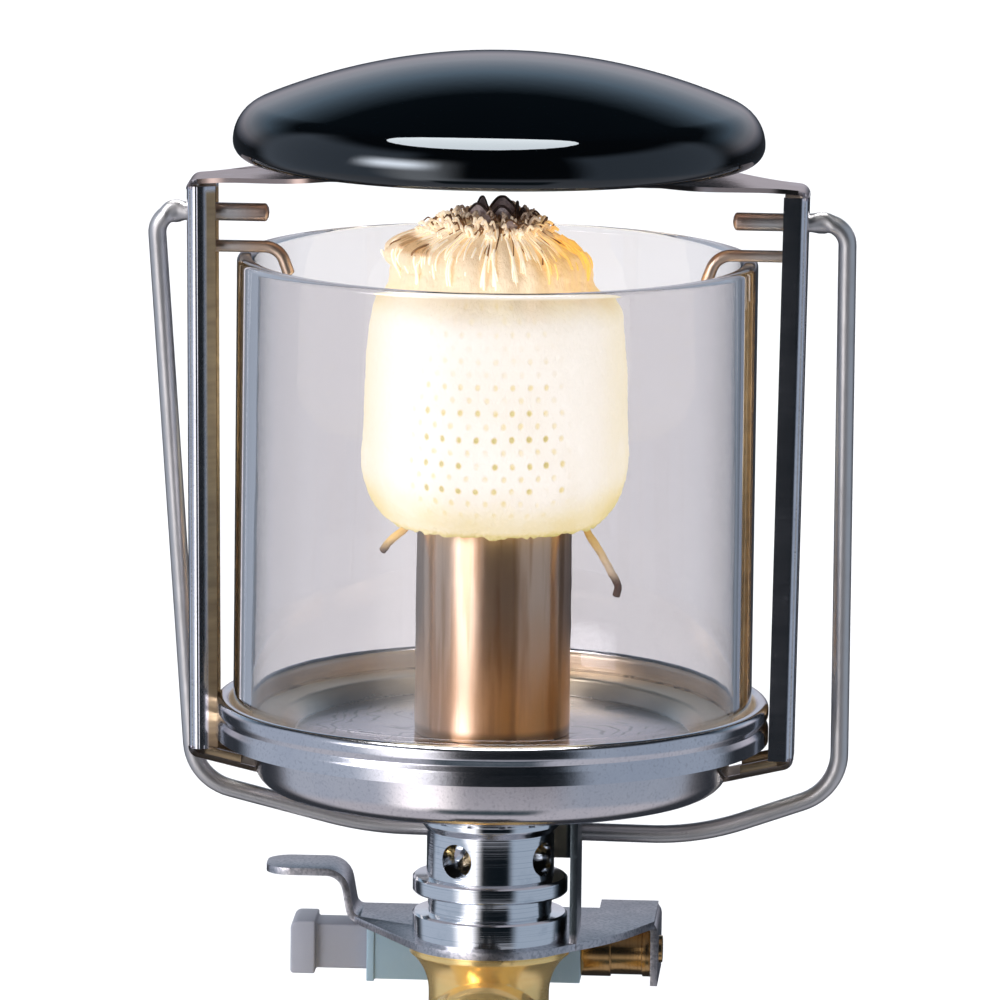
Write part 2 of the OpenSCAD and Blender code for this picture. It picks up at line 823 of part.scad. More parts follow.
// Spark electrode behind the burner tube
insulator_h = 14;
insulator_tail = 3;
electrode_out = 5;
electrode_tail = 1;
insulator_top = floor_z + insulator_h;
insulator_foot = skirt_z - insulator_tail;

module electrode_insulator() {
    color("white")
        translate([0, electrode_y, 0])
            rotate_extrude() {
                step(0.5, insulator_r, insulator_foot, floor_z);
                step(0.5, insulator_r + 0.8, floor_z, floor_z + 1);
                step(0.5, insulator_r, floor_z + 1, insulator_top);
            }
}

module spark_electrode() {
    wire_d = 1;
    tip_z = insulator_top + electrode_out;
    color("silver")
        translate([0, electrode_y, 0])
            rotate([0, 0, -90])
                wire([[0, insulator_foot - electrode_tail], [0, tip_z], [1.7, tip_z + 0.6]], [0.8], wire_d);
}

// Mantle: a tied sock burnt to ash, bellied over its tie and gathered at the top.
// Each row is a share of its height and of its greatest radius, from the tip down.
mantle_shape = [[0.985, 0.14], [0.94, 0.38], [0.87, 0.66], [0.805, 0.77], [0.75, 0.815], [0.69, 0.85],
    [0.64, 0.885], [0.545, 0.92], [0.44, 0.97], [0.29, 0.995], [0.165, 1], [0.08, 0.945], [0.025, 0.855],
    [0, 0.75]];
mantle_sides = 4 * pleats;
tie_fit = 0.06;
string_pitch = string_d + 0.45;

// Depth of the gathers at a share f of the height
function gather(f) = 0.16 * max(0, f - 0.66) / 0.34;
function mantle_ring(r, z, depth) =
    [for (k = [0:mantle_sides - 1])
        let (a = 360 * k / mantle_sides)
        let (bent = r * (1 + depth * cos(pleats * a)))
        [bent * cos(a), bent * sin(a), z]];
function mantle_rows(inset) =
    [for (row = mantle_shape)
        let (z = mantle_z + row[0] * mantle_h)
        let (lift = row[0] < 0.06 ? inset : 0)
        mantle_ring(max(row[1] * mantle_d / 2 - inset, 0.5), z + lift, gather(row[0]))];

module mantle() {
    hem_r = burner_r + tie_fit;
    tuck_r = hem_r + 2 * string_d + free_gap;
    tuck_z = tie_z + 1.25 * string_pitch;
    hem_z = tuck_z + 0.6;
    w = mantle_wall;
    inside = [for (i = [2:len(mantle_shape) - 1]) mantle_rows(w)[i]];
    rings = concat(
        mantle_rows(0),
        [mantle_ring(tuck_r, tuck_z, 0), mantle_ring(hem_r, hem_z, 0), mantle_ring(hem_r, hem_z + w, 0),
            mantle_ring(tuck_r + 0.2, tuck_z + w, 0)],
        reversed(inside));
    n = mantle_sides;
    last = len(rings) - 1;
    top = len(rings) * n;
    points = concat([for (ring = rings) each ring],
        [[0, 0, mantle_z + mantle_h], [0, 0, mantle_z + 0.92 * mantle_h - w]]);
    sides = [for (i = [0:last - 1], k = [0:n - 1])
        let (a = i * n + k)
        let (b = i * n + (k + 1) % n)
        each [[a, b, b + n], [a, b + n, a + n]]];
    tips = [for (k = [0:n - 1])
        let (b = (k + 1) % n)
        each [[top, b, k], [top + 1, last * n + k, last * n + b]]];
    color("lightyellow")
        polyhedron(points = points, faces = concat(sides, tips), convexity = 6);
}

// String of the tie, one and a half turns round the neck of the mantle, with its two tails hanging free.
// A tail's points are counted from the neck: outwards, forwards and down.
string_wind = burner_r + string_d / 2 + tie_fit;
string_wrap = 545;
string_steps = 32;
left_tail = [[-3.2, -3.6, -4.4], [-2.6, -3.6, -3.6], [-1.8, -3.6, -2.8], [-0.9, -3.4, -2.1], [-0.3, -2.6, -1.4]];
right_tail = [[0.75, -1.2, 0.5], [0.95, -2.4, -0.6], [1.4, -3.2, -1.8], [2.3, -3.6, -3.1], [3.4, -3.8, -4.8],
    [4.4, -3.9, -6.6], [5.0, -4.0, -7.8], [4.8, -4.1, -8.8]];
function from_neck(p, side) = [side * string_wind + p.x, p.y, tie_z + p.z];
string_route = concat(
    [for (p = left_tail) from_neck(p, -1)],
    [for (i = [0:string_steps])
        let (turned = string_wrap * i / string_steps)
        let (a = 190 - turned)
        [string_wind * cos(a), string_wind * sin(a), tie_z + string_pitch * (turned / 360 - 0.75)]],
    [for (p = right_tail) from_neck(p, 1)]);

module mantle_string() {
    color("peru")
        tube(string_route, string_d, 8, [0, 0, 1]);
}

module globe() {
    lip = 0.4;
    color("white", 0.35)
        rotate_extrude()
            polygon([[globe_r - globe_wall, seat_z], [globe_r, seat_z], [globe_r, globe_top - lip],
                [globe_r - lip, globe_top], [globe_r - globe_wall + lip, globe_top],
                [globe_r - globe_wall, globe_top - lip]]);
}

// Frame: one strip of sheet over the top, down both sides and in under the tray
foot_z = pan_z + foot_h;
function post_out(z) = post_x - post_toe * (strap_z - z) / (strap_z - foot_z);
foot_knee = [post_out(foot_z) - frame_sheet / 2, foot_z];
foot_run = foot_knee.x - pan_r + 4.6;
hook_toe = foot_knee - [foot_run - 1.9, (foot_run - 1.9) * tan(foot_slope)];

// A globe hook: a leg inside the post, a reach over the rim of the glass and a bend down inside it
module hook() {
    z = globe_top + hook_wire / 2 + 0.02;
    leg = 6;
    inset = frame_sheet + hook_wire / 2 + 0.02;
    tip_x = globe_r - globe_wall - hook_reach;
    wire([[post_out(z - leg) - inset, z - leg], [post_out(z) - inset, z], [tip_x, z], [tip_x - 0.4, z - hook_drop]],
        [1.6, 1.8], hook_wire);
}

module left_globe_hook() {
    color("rosybrown")
        mirror([1, 0, 0])
            hook();
}

module right_globe_hook() {
    color("rosybrown")
        hook();
}

// Half the width of the strap at a distance x from the axis
flare_x0 = strap_w + 2;
function strap_half(x) =
    let (s = min(max((post_x - 1.8 - x) / (post_x - 1.8 - flare_x0), 0), 1))
    post_w / 2 + (strap_w - post_w) / 2 * s * s * (3 - 2 * s);

rivet_r = 1.8;
pin_fit_d = bail_wire + 2 * turn_fit;

module hood_frame() {
    t = frame_sheet;
    strap_c = strap_z + t / 2;
    middle = [strap_w, strap_c + strap_rise];
    top = [post_x - t / 2, strap_c];
    toe_up = hook_toe + [-0.3, 2.2];
    right = [middle, top, foot_knee, hook_toe, toe_up];
    strip = rounded(concat(reversed(mirrored(right)), right), [0.8, 1, 1, 8, 8, 1, 1, 0.8], 5);
    roof = rounded([[-top.x, top.y], [-middle.x, middle.y], middle, top], [8, 8], 5);
    plan = concat(
        [for (i = [0:12]) let (x = -top.x + 1 + i * (top.x - 1 - flare_x0) / 12) [x, strap_half(-x)]],
        [for (i = [12:-1:0]) let (x = top.x - 1 - i * (top.x - 1 - flare_x0) / 12) [x, strap_half(x)]]);
    notch = 1.6;
    top_z = strap_z - notch;
    low_z = foot_z + notch;
    foot_flange = 1.3;
    foot_x0 = foot_knee.x - notch;
    foot_x1 = pan_r + 1;
    color("lightsteelblue")
        difference() {
            union() {
                along_y(-post_w / 2, post_w / 2)
                    sheet(strip, t);
                intersection() {
                    along_y(-strap_w, strap_w)
                        sheet(roof, t);
                    translate([0, 0, strap_z - 1])
                        linear_extrude(height = strap_rise + t + 2)
                            polygon(concat(plan, [for (p = reversed(plan)) [p.x, -p.y]]));
                }
                for (side = [0, 1], y = [-post_w / 2, post_w / 2 - t])
                    mirror([side, 0, 0])
                        along_y(y, y + t) {
                            polygon(rounded([[post_out(low_z), low_z], [post_out(top_z), top_z],
                                [post_out(top_z) - post_flange, top_z], [post_out(low_z) - post_flange, low_z],
                                [post_out(low_z) - t, low_z]], [0, 2, 0.8], 5));
                            polygon([for (p = [[foot_x0, 0], [foot_x0, 1], [foot_x1, 1], [foot_x1, 0]])
                                [p.x, foot_z - (foot_knee.x - p.x) * tan(foot_slope) + p.y * foot_flange]]);
                        }
            }
            translate([-post_x - 5, 0, pivot_z])
                rotate([0, 90, 0])
                    cylinder(d = pin_fit_d, h = 2 * post_x + 10);
            translate([0, 0, middle_z - 1])
                cylinder(r = rivet_r, h = t + 2);
        }
}

// Bail: a wire loop that hangs behind the mixing tube and leans on the upright of the bracket
bail_r = bail_wire / 2;
loop_z = pan_z - bail_hang;
bail_lean = asin((upright_back + free_gap + bail_r) / (pivot_z - loop_z));
bail_drop = (pivot_z - loop_z) / cos(bail_lean);

module bail() {
    leg_x = post_x + bail_gap;
    left_x = bail_skew + bail_taper - leg_x;
    right_x = leg_x + bail_skew - bail_taper;
    left_rise = 5.7;
    right_rise = 6;
    sag_left = [-0.38 * leg_x, 0.5 - bail_drop];
    sag_right = [0.6 * leg_x, -bail_drop];
    crimp_x = post_x + 0.5;
    crimp_l = 1.8;
    crimp_r = bail_r * 1.4;
    wire_x = crimp_x + 0.2;
    color("darkgray")
        translate([0, 0, pivot_z])
            rotate([bail_lean, 0, 0]) {
                wire([[-wire_x, 0], [-leg_x, 0], [left_x, left_rise - bail_drop], sag_left, sag_right,
                    [right_x, right_rise - bail_drop], [leg_x + 0.7, 0], [wire_x, 0]],
                    [2.6, 6, 40, 30, 6.5, 2.6], bail_wire);
                for (side = [0, 1])
                    mirror([side, 0, 0])
                        rotate([0, 90, 0])
                            rotate_extrude() {
                                step(0, bail_r, post_x - pin_l, crimp_x + 0.1);
                                polygon([[0, crimp_x], [bail_r, crimp_x], [crimp_r, crimp_x + 0.4],
                                    [crimp_r, crimp_x + crimp_l - 0.4], [bail_r * 1.1, crimp_x + crimp_l],
                                    [0, crimp_x + crimp_l]]);
                            }
            }
}

// Shade: a dome, a rounded rim and a lip, pressed from one sheet
shade_r = shade_d / 2;
spacer_z = middle_z + frame_sheet;
spacer_r = spacer_d / 2;
dome_in = dome_r - shade_sheet;
dome_z = spacer_z + spacer_h - sqrt(dome_in * dome_in - spacer_r * spacer_r);
rim_x = shade_r - rim_r;
rim_up = sqrt(pow(dome_r - rim_r, 2) - rim_x * rim_x);
dome_lean = atan2(rim_up, rim_x);
lip_turn = 60;

function shade_edge(inset) = concat(
    arc([0, dome_z], dome_r - inset, 90, dome_lean - 90, 14),
    arc([rim_x, dome_z + rim_up], rim_r - inset, dome_lean, -dome_lean, 10, 1),
    arc([shade_r - lip_r, dome_z + rim_up], lip_r - inset, 0, -lip_turn, 6, 1));

module shade() {
    color([0.05, 0.06, 0.08])
        rotate_extrude()
            polygon(concat(shade_edge(0), reversed(shade_edge(shade_sheet))));
}

module shade_spacer() {
    color("silver")
        rotate_extrude()
            difference() {
                step(0, spacer_r, spacer_z, spacer_z + spacer_h);
                step(0, rivet_r, spacer_z - 1, spacer_z + spacer_h + 1);
            }
}

module shade_rivet() {
    head_r = 3.2;
    color("silver")
        rotate_extrude() {
            step(0, rivet_r, middle_z, spacer_z + 6);
            polygon([[0, middle_z - rivet_head], [head_r - 0.5, middle_z - rivet_head], [head_r, middle_z],
                [0, middle_z]]);
        }
}

cartridge_collar();
cartridge_seal();
pusher_pin();
gas_filter();
valve_body();
valve_spindle();
spindle_seal();
gland_nut();
control_knob();
knob_screw();
gas_jet();
igniter_bracket();
igniter_case();
igniter_button();
igniter_end_cap();
mixing_tube();
toothed_washer();
base_pan();
globe_tray();
burner_tube();
burner_gauze();
burner_head();
electrode_insulator();
spark_electrode();
mantle();
mantle_string();
globe();
left_globe_hook();
right_globe_hook();
hood_frame();
bail();
shade();
shade_spacer();
shade_rivet();
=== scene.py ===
"""Looks of a cartridge-top gas lantern: finishes, pieces that need a finer mesh, and a plain studio."""
import json
import math
import random
from math import cos, pi, radians, sin, sqrt

import bmesh
import bpy
import numpy as np
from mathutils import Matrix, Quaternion, Vector, noise


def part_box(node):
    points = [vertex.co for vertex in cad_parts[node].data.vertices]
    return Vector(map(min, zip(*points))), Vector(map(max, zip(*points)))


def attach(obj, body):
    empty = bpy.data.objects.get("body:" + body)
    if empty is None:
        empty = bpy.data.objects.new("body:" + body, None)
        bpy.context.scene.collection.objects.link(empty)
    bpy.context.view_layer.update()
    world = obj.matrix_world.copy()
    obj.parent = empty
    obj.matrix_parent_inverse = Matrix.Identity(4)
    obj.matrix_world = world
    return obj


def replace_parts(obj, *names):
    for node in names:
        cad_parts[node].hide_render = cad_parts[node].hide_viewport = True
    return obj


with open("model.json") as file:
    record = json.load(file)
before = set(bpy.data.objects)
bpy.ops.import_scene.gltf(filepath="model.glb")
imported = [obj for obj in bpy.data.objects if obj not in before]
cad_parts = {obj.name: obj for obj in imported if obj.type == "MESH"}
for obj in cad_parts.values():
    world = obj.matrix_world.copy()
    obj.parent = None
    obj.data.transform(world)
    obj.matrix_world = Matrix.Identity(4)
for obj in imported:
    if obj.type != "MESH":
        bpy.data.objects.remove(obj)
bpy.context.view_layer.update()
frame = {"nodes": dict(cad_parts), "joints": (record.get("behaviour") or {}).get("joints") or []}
MM = 0.001

# Camera, at the photograph's viewing angle
camera_distance = 1.27
camera_azimuth = radians(3)
camera_elevation = radians(9.4)
camera_roll = radians(0.7)
camera_lens = 396
aim_right = 0.6 * MM
aim_up = 85.5 * MM


def add_object(name, data):
    """A new object of the scene, made of the data."""
    made = bpy.data.objects.new(name, data)
    bpy.context.scene.collection.objects.link(made)
    return made


def studio_camera():
    level = camera_distance * cos(camera_elevation)
    right = Vector((cos(camera_azimuth), sin(camera_azimuth), 0))
    away = Vector((level * right.y, -level * right.x, camera_distance * sin(camera_elevation)))
    camera = add_object("studio_camera", bpy.data.cameras.new("studio_camera"))
    camera.data.lens = camera_lens
    camera.data.clip_end = 100
    camera.location = right * aim_right + Vector((0, 0, aim_up)) + away
    camera.rotation_mode = "QUATERNION"
    camera.rotation_quaternion = (-away).to_track_quat("-Z", "Y") @ Quaternion((0, 0, 1), camera_roll)
    bpy.context.scene.camera = camera


studio_camera()

# Sizes of the pieces, from the frame where it gives them
globe_low, globe_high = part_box("globe")
globe_r = globe_high.x
globe_wall = 2 * MM
tray_low, tray_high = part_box("globe_tray")
tray_r = tray_high.x
rim_z = tray_high.z
skirt_z = tray_low.z
seat_z = globe_low.z
base_sheet = 0.6 * MM
pan_low, pan_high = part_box("base_pan")
pan_r = pan_high.x
boss_z = pan_low.z
boss_h = 3.1 * MM
spigot_r = 6.35 * MM
shade_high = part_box("shade")[1]
shade_r = shade_high.x
mantle_low, mantle_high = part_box("mantle")
mantle_r = mantle_high.x
mantle_h = mantle_high.z - mantle_low.z
tie_z = mantle_low.z + 1.2 * MM
burner_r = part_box("burner_tube")[1].x
case_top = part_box("igniter_case")[1].z
frame_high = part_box("hood_frame")[1]
post_x = frame_high.x
post_w = 6.6 * MM
post_toe = 0.8 * MM
frame_sheet = 0.55 * MM
strap_z = frame_high.z - 2 * MM
foot_z = boss_z + 6.7 * MM

# Mesh helpers. Angles of corners are in degrees
same_point = 1e-7
merge_gap = 2e-6
sliver = 1e-6
flat_angle = 0.6
corner_angle = 34
off_axis = (0.31, 0.87, 0.38)
dome_shares = (0.02, 0.55, 0.86, 0.98)


def arc(centre, r, start, turn, steps):
    """Points along an arc about centre, from the angle start through turn, in degrees."""
    angles = np.radians(start + turn * np.linspace(0, 1, steps + 1))
    return np.column_stack([centre[0] + r * np.cos(angles), centre[1] + r * np.sin(angles)])


def rounded(points, radii, steps=8):
    """A path whose inner corners are bent to the given radii."""
    points = [np.array(p, float) for p in points]
    path = [points[0]]
    for before, at, after, r in zip(points, points[1:], points[2:], radii):
        u = (before - at) / np.linalg.norm(before - at)
        v = (after - at) / np.linalg.norm(after - at)
        half = math.acos(max(-1.0, min(1.0, float(u @ v)))) / 2
        if half > pi / 2 - 1e-4:
            path.append(at)
            continue
        centre = at + (u + v) / np.linalg.norm(u + v) * r / sin(half)
        start = at + u * r / math.tan(half) - centre
        end = at + v * r / math.tan(half) - centre
        swing = pi - 2 * half
        for i in range(steps + 1):
            a = swing * i / steps
            path.append(centre + (start * sin(swing - a) + end * sin(a)) / sin(swing))
    path.append(points[-1])
    return np.array(path)


def directions(path):
    """The direction of a path at each of its points."""
    ahead = np.vstack([path[1:], path[-1:]]) - np.vstack([path[:1], path[:-1]])
    return ahead / np.linalg.norm(ahead, axis=1)[:, None]


def sheet_loop(path, thickness):
    """Closed section of a sheet that follows a path in the plane."""
    ahead = directions(path)
    side = np.column_stack([-ahead[:, 1], ahead[:, 0]]) * thickness / 2
    return np.vstack([path + side, (path - side)[::-1]])


def make_piece(name, points, faces, finish, body="lantern", sharp=40):
    """A piece made of points and faces."""
    mesh = bpy.data.meshes.new(name)
    mesh.from_pydata([tuple(p) for p in points], [], faces)
    mesh.validate()
    clean = bmesh.new()
    clean.from_mesh(mesh)
    bmesh.ops.remove_doubles(clean, verts=clean.verts, dist=same_point)
    bmesh.ops.recalc_face_normals(clean, faces=clean.faces)
    return finish_piece(mesh, clean, finish, body, sharp)


def finish_piece(mesh, clean, finish, body, sharp):
    """A piece that rides on a body, from its cleaned mesh; smooth except at edges sharper than the angle."""
    clean.to_mesh(mesh)
    clean.free()
    mesh.shade_smooth()
    mesh.set_sharp_from_angle(angle=radians(sharp))
    mesh.materials.append(finish.material)
    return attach(add_object(mesh.name, mesh), body)


def ring_faces(rings, n, closed=False):
    """Quads between rings of n points each; closed joins the last ring to the first."""
    last = rings if closed else rings - 1
    return [(i * n + k, i * n + (k + 1) % n, (i + 1) % rings * n + (k + 1) % n, (i + 1) % rings * n + k)
            for i in range(last) for k in range(n)]


def lathe(name, loop, finish, sharp=40, steps=160):
    """A closed section of radius and height, turned about the lantern's axis."""
    turn = np.linspace(0, 2 * pi, steps, endpoint=False)
    points = np.array([(r * np.cos(turn), r * np.sin(turn), np.full(steps, z)) for r, z in loop])
    points = points.transpose(0, 2, 1).reshape(-1, 3)
    return make_piece(name, points, ring_faces(len(loop), steps, closed=True), finish, sharp=sharp)


def tube_mesh(route, radius, sides=20, squeeze=None):
    """Points and faces of a wire along a route in space, with rounded ends. squeeze gives, for each point of
    the route, factors on the wire's radius in the two directions across it."""
    route = np.array(route, float)
    ahead = directions(route)
    across = np.cross(ahead[0], off_axis)
    across /= np.linalg.norm(across)
    turn = np.linspace(0, 2 * pi, sides, endpoint=False)
    rings = []

    def dome(at, inwards, spread):
        return [at - inwards * radius * 0.5 * sqrt(1 - s * s) + spread * s for s in dome_shares]

    for i, (at, t) in enumerate(zip(route, ahead)):
        across = across - t * (across @ t)
        across /= np.linalg.norm(across)
        wide, high = (1, 1) if squeeze is None else squeeze[i]
        spread = wide * np.outer(np.cos(turn), across) + high * np.outer(np.sin(turn), np.cross(t, across))
        spread *= radius
        if i == 0:
            rings += dome(at, t, spread)
        rings.append(at + spread)
        if i == len(route) - 1:
            rings += dome(at, -t, spread)[::-1]
    faces = ring_faces(len(rings), sides)
    last = (len(rings) - 1) * sides
    faces.append(tuple(range(sides))[::-1])
    faces.append(tuple(range(last, last + sides)))
    return np.vstack(rings), faces


def through(points, steps):
    """A smooth curve through the points, with the given number of steps between each two."""
    p = np.array(points, float)
    p = np.vstack([2 * p[0] - p[1], p, 2 * p[-1] - p[-2]])
    curve = []
    for a, b, c, d in zip(p, p[1:], p[2:], p[3:]):
        for t in np.arange(steps) / steps:
            curve.append(0.5 * (2 * b + (c - a) * t + (2 * a - 5 * b + 4 * c - d) * t ** 2
                                + (3 * b - a - 3 * c + d) * t ** 3))
    curve.append(p[-2])
    return np.array(curve)


def cad_copy(node):
    """A copy of a CAD node's mesh to work on, with its flat faces joined."""
    clean = bmesh.new()
    clean.from_mesh(frame["nodes"][node].data)
    bmesh.ops.remove_doubles(clean, verts=clean.verts, dist=merge_gap)
    bmesh.ops.dissolve_limit(clean, angle_limit=radians(flat_angle), verts=clean.verts, edges=clean.edges)
    return clean


def dressed(node, finish, edge, body="lantern"):
    """A copy of a CAD node with its edges broken by a small radius in mm."""
    clean = cad_copy(node)
    sharp = radians(corner_angle)
    corners = [e for e in clean.edges if e.is_manifold and e.calc_face_angle(0) > sharp]
    bmesh.ops.bevel(clean, geom=corners, offset=edge * MM, segments=3, profile=0.5, affect="EDGES",
                    clamp_overlap=True)
    bmesh.ops.remove_doubles(clean, verts=clean.verts, dist=sliver)
    bmesh.ops.dissolve_degenerate(clean, dist=sliver, edges=clean.edges)
    mesh = bpy.data.meshes.new(node + "_dressed")
    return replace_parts(finish_piece(mesh, clean, finish, body, corner_angle), node)


# Shader helpers
class Socket:
    """An output in a graph's nodes; arithmetic on it adds Math nodes."""

    def __init__(self, graph, output):
        self.graph = graph
        self.output = output

    def math(self, operation, *others):
        return self.graph.node("Math", {"operation": operation}, [self, *others])

    def __add__(self, other):
        return self.math("ADD", other)

    def __sub__(self, other):
        return self.math("SUBTRACT", other)

    def __rsub__(self, other):
        return self.graph.node("Math", {"operation": "SUBTRACT"}, [other, self])

    def __mul__(self, other):
        return self.math("MULTIPLY", other)

    def __truediv__(self, other):
        return self.math("DIVIDE", other)

    def __abs__(self):
        return self.math("ABSOLUTE")

    __radd__ = __add__
    __rmul__ = __mul__


class Graph:
    """A node tree, made one call at a time from the place on the surface."""

    def __init__(self, tree, place):
        self.tree = tree
        self.place = self.node("TexCoord", out=place)

    def node(self, kind, settings=None, values=None, out=0):
        made = self.tree.nodes.new("ShaderNode" + kind)
        for key, value in (settings or {}).items():
            if key == "stops":
                self.fill_ramp(made.color_ramp, value)
            else:
                setattr(made, key, value)
        self.feed(made, values.items() if isinstance(values, dict) else enumerate(values or []))
        return Socket(self, made.outputs[out])

    def fill_ramp(self, ramp, stops):
        while len(ramp.elements) < len(stops):
            ramp.elements.new(0.5)
        for element, (place, colour) in zip(ramp.elements, stops):
            element.position = place
            element.color = (*colour, 1)

    def feed(self, made, pairs):
        for key, value in pairs:
            if isinstance(value, Socket):
                self.tree.links.new(value.output, made.inputs[key])
            else:
                made.inputs[key].default_value = value

    def noise(self, size, detail=3, stretch=(1, 1, 1), rough=0.5):
        """Noise from 0 to 1 with features about size mm across, stretched by the three factors."""
        scale = tuple(1 / (size * MM * s) for s in stretch)
        at = self.node("VectorMath", {"operation": "MULTIPLY"}, [self.place, scale])
        return self.node("TexNoise", None,
                         {"Vector": at, "Scale": 1.0, "Detail": detail, "Roughness": rough})

    def fade(self, value, low, high, start=0.0, end=1.0):
        """Goes smoothly from start to end as value goes from low to high."""
        return self.node("MapRange", {"interpolation_type": "SMOOTHSTEP"},
                         {"Value": value, "From Min": low, "From Max": high, "To Min": start, "To Max": end})

    def mix(self, share, first, second):
        first, second = ((*c, 1) if isinstance(c, tuple) else c for c in (first, second))
        return self.node("Mix", {"data_type": "RGBA"}, {0: share, 6: first, 7: second}, out=2)

    def split(self):
        """The three coordinates of the place, in metres on a surface."""
        parts = self.node("SeparateXYZ", None, [self.place])
        return [Socket(self, output) for output in parts.output.node.outputs]


class Finish(Graph):
    """One procedural material, on its Principled shader."""

    def __init__(self, name, **constants):
        self.material = bpy.data.materials.new(name)
        self.material.use_nodes = True
        super().__init__(self.material.node_tree, "Object")
        self.shader = self.tree.nodes["Principled BSDF"]
        self.set(**constants)

    def set(self, **values):
        """Feeds the Principled shader; base_color stands for its Base Color socket, and so on."""
        names = {"specular": "Specular IOR Level"}
        self.feed(self.shader, [(names.get(k, k.replace("_", " ").title()), v) for k, v in values.items()])

    def bump(self, height, depth, strength=1.0):
        """Relief as deep as depth in mm."""
        return self.node("Bump", None, {"Height": height, "Distance": depth * MM, "Strength": strength})


# Finishes of sheet, wire and turned metal
# Colours of the mantle's warm glow, painted on the tray and on the posts where they face it
tray_glow_colours = ((0.62, 0.47, 0.31), (0.92, 0.8, 0.63))
post_glow_colours = ((0.22, 0.16, 0.11), (0.64, 0.48, 0.28))


def plated_sheet(name, tint, shadow, roughness, flame_glow_share=None, marks=None, mark=None, glow_colours=tray_glow_colours):
    """Bright plate on pressed sheet: smudged, scratched and slightly wavy. Sides that face the flame carry
    the mantle's warm glow as painted light, in pale gold tones, and have lost some of their polish."""
    f = Finish(name, metallic=1.0)
    smudge = f.noise(9, 4)
    grain = f.noise(0.35, 3)
    lines = f.noise(0.25, 2, (14, 1, 1)) * f.noise(3, 2)
    worn = f.fade(f.noise(2.2, 5, rough=0.7), 0.62, 0.74)
    colour = f.mix(f.fade(smudge, 0.35, 0.75), tint, shadow)
    colour = f.mix(f.fade(grain, 0.5, 0.72) * 0.3, colour, tuple(c * 0.6 for c in shadow))
    polish = roughness + smudge * 0.07 + lines * 0.1 + worn * 0.05
    if marks:
        colour = f.mix(marks(f), colour, mark)
    # Painted light: the mantle's warm glow, streaked between two colours, on the sides that face it
    if flame_glow_share:
        painted_glow = flame_glow_share(f)
        streak = f.noise(1.2, 3, (6, 6, 1))
        colour = f.mix(painted_glow, colour, f.mix(streak, *glow_colours))
        polish = polish + painted_glow * 0.2
    f.set(base_color=colour, roughness=polish,
          normal=f.bump(f.noise(7, 2) + grain * 0.14, 0.02))
    return f


def inside_tray(f):
    """1 on the seat and the inner wall of the tray, where the mantle's glow is painted."""
    x, y, _ = f.split()
    reach = x * x + y * y
    beyond_floor = f.fade(reach, (20 * MM) ** 2, (25 * MM) ** 2)
    within_wall = f.fade(reach, (globe_r + 0.62 * MM) ** 2, (globe_r + 0.5 * MM) ** 2)
    return beyond_floor * within_wall


def floor_swirls(f):
    """1 on the curled scratches of the tray's floor."""
    x, y, _ = f.split()
    reach = (x * x + y * y).math("SQRT") + f.noise(8, 2) * 16 * MM
    lines = f.fade(abs((reach / (2.1 * MM)).math("FRACT") - 0.5), 0.16, 0.04)
    floor = f.fade(x * x + y * y, (22 * MM) ** 2, (20 * MM) ** 2)
    return lines * f.fade(f.noise(5, 2), 0.42, 0.56) * floor


def darker_strap(f):
    """1 on the strap over the flame, under the shade, where it is coloured darker and browner."""
    z = f.split()[2]
    return f.fade(z, strap_z - 0.5 * MM, strap_z + 0.1 * MM) * f.fade(f.noise(5, 3), 0.2, 0.5, 0.6, 1.0)


def post_out(z):
    """How far the outer face of a post is from the axis at a height."""
    return post_x - (strap_z - z) * (post_toe / (strap_z - foot_z))


def inside_posts(f):
    """1 on the faces of the frame's posts that look in at the globe, where the mantle's glow is painted."""
    x, y, z = f.split()
    depth = post_out(z) - abs(x)
    between = f.fade(abs(y), post_w / 2 - 0.15 * MM, post_w / 2 - 0.4 * MM)
    return f.fade(depth, 0.3 * MM, 0.5 * MM) * between * f.fade(strap_z - z, 0.4 * MM, 1.2 * MM)


def turned_metal(name, tint, stain, roughness, depth=0.012, axis=2, metallic=1.0):
    """Metal from the lathe: fine rings along its axis, patches of stain and a polish that varies."""
    f = Finish(name, metallic=metallic)
    pitch = 0.22
    stretch = [400, 400, 400]
    stretch[axis] = 1
    rings = f.noise(pitch, 2, stretch)
    broad = f.noise(pitch * 6, 2, stretch)
    stains = f.fade(f.noise(3.5, 5, rough=0.65), 0.5, 0.78)
    lines = f.fade(rings, 0.52, 0.66)
    f.set(base_color=f.mix(stains * 0.45 + lines * 0.5, tint, stain),
          roughness=roughness + rings * 0.1 + stains * 0.08,
          normal=f.bump(rings + broad * 1.5, depth))
    return f


def satin_wire(name, tint, stain, heat):
    """Drawn spring wire, with fine draw marks and heat stain towards the flame."""
    f = Finish(name, metallic=1.0)
    marks = f.noise(0.3, 3, (1, 1, 16))
    patches = f.fade(f.noise(5, 4), 0.45, 0.75)
    x, y, z = f.split()
    inside = f.fade(x * x + y * y, (globe_r + MM) ** 2, (globe_r - 3 * MM) ** 2)
    above_tray = f.fade(z, 60 * MM, 66 * MM)
    plain = f.mix(patches * 0.6, tint, stain)
    f.set(base_color=f.mix(inside * above_tray * 0.8, plain, heat),
          roughness=0.3 + marks * 0.16 + patches * 0.06,
          normal=f.bump(marks, 0.015))
    return f


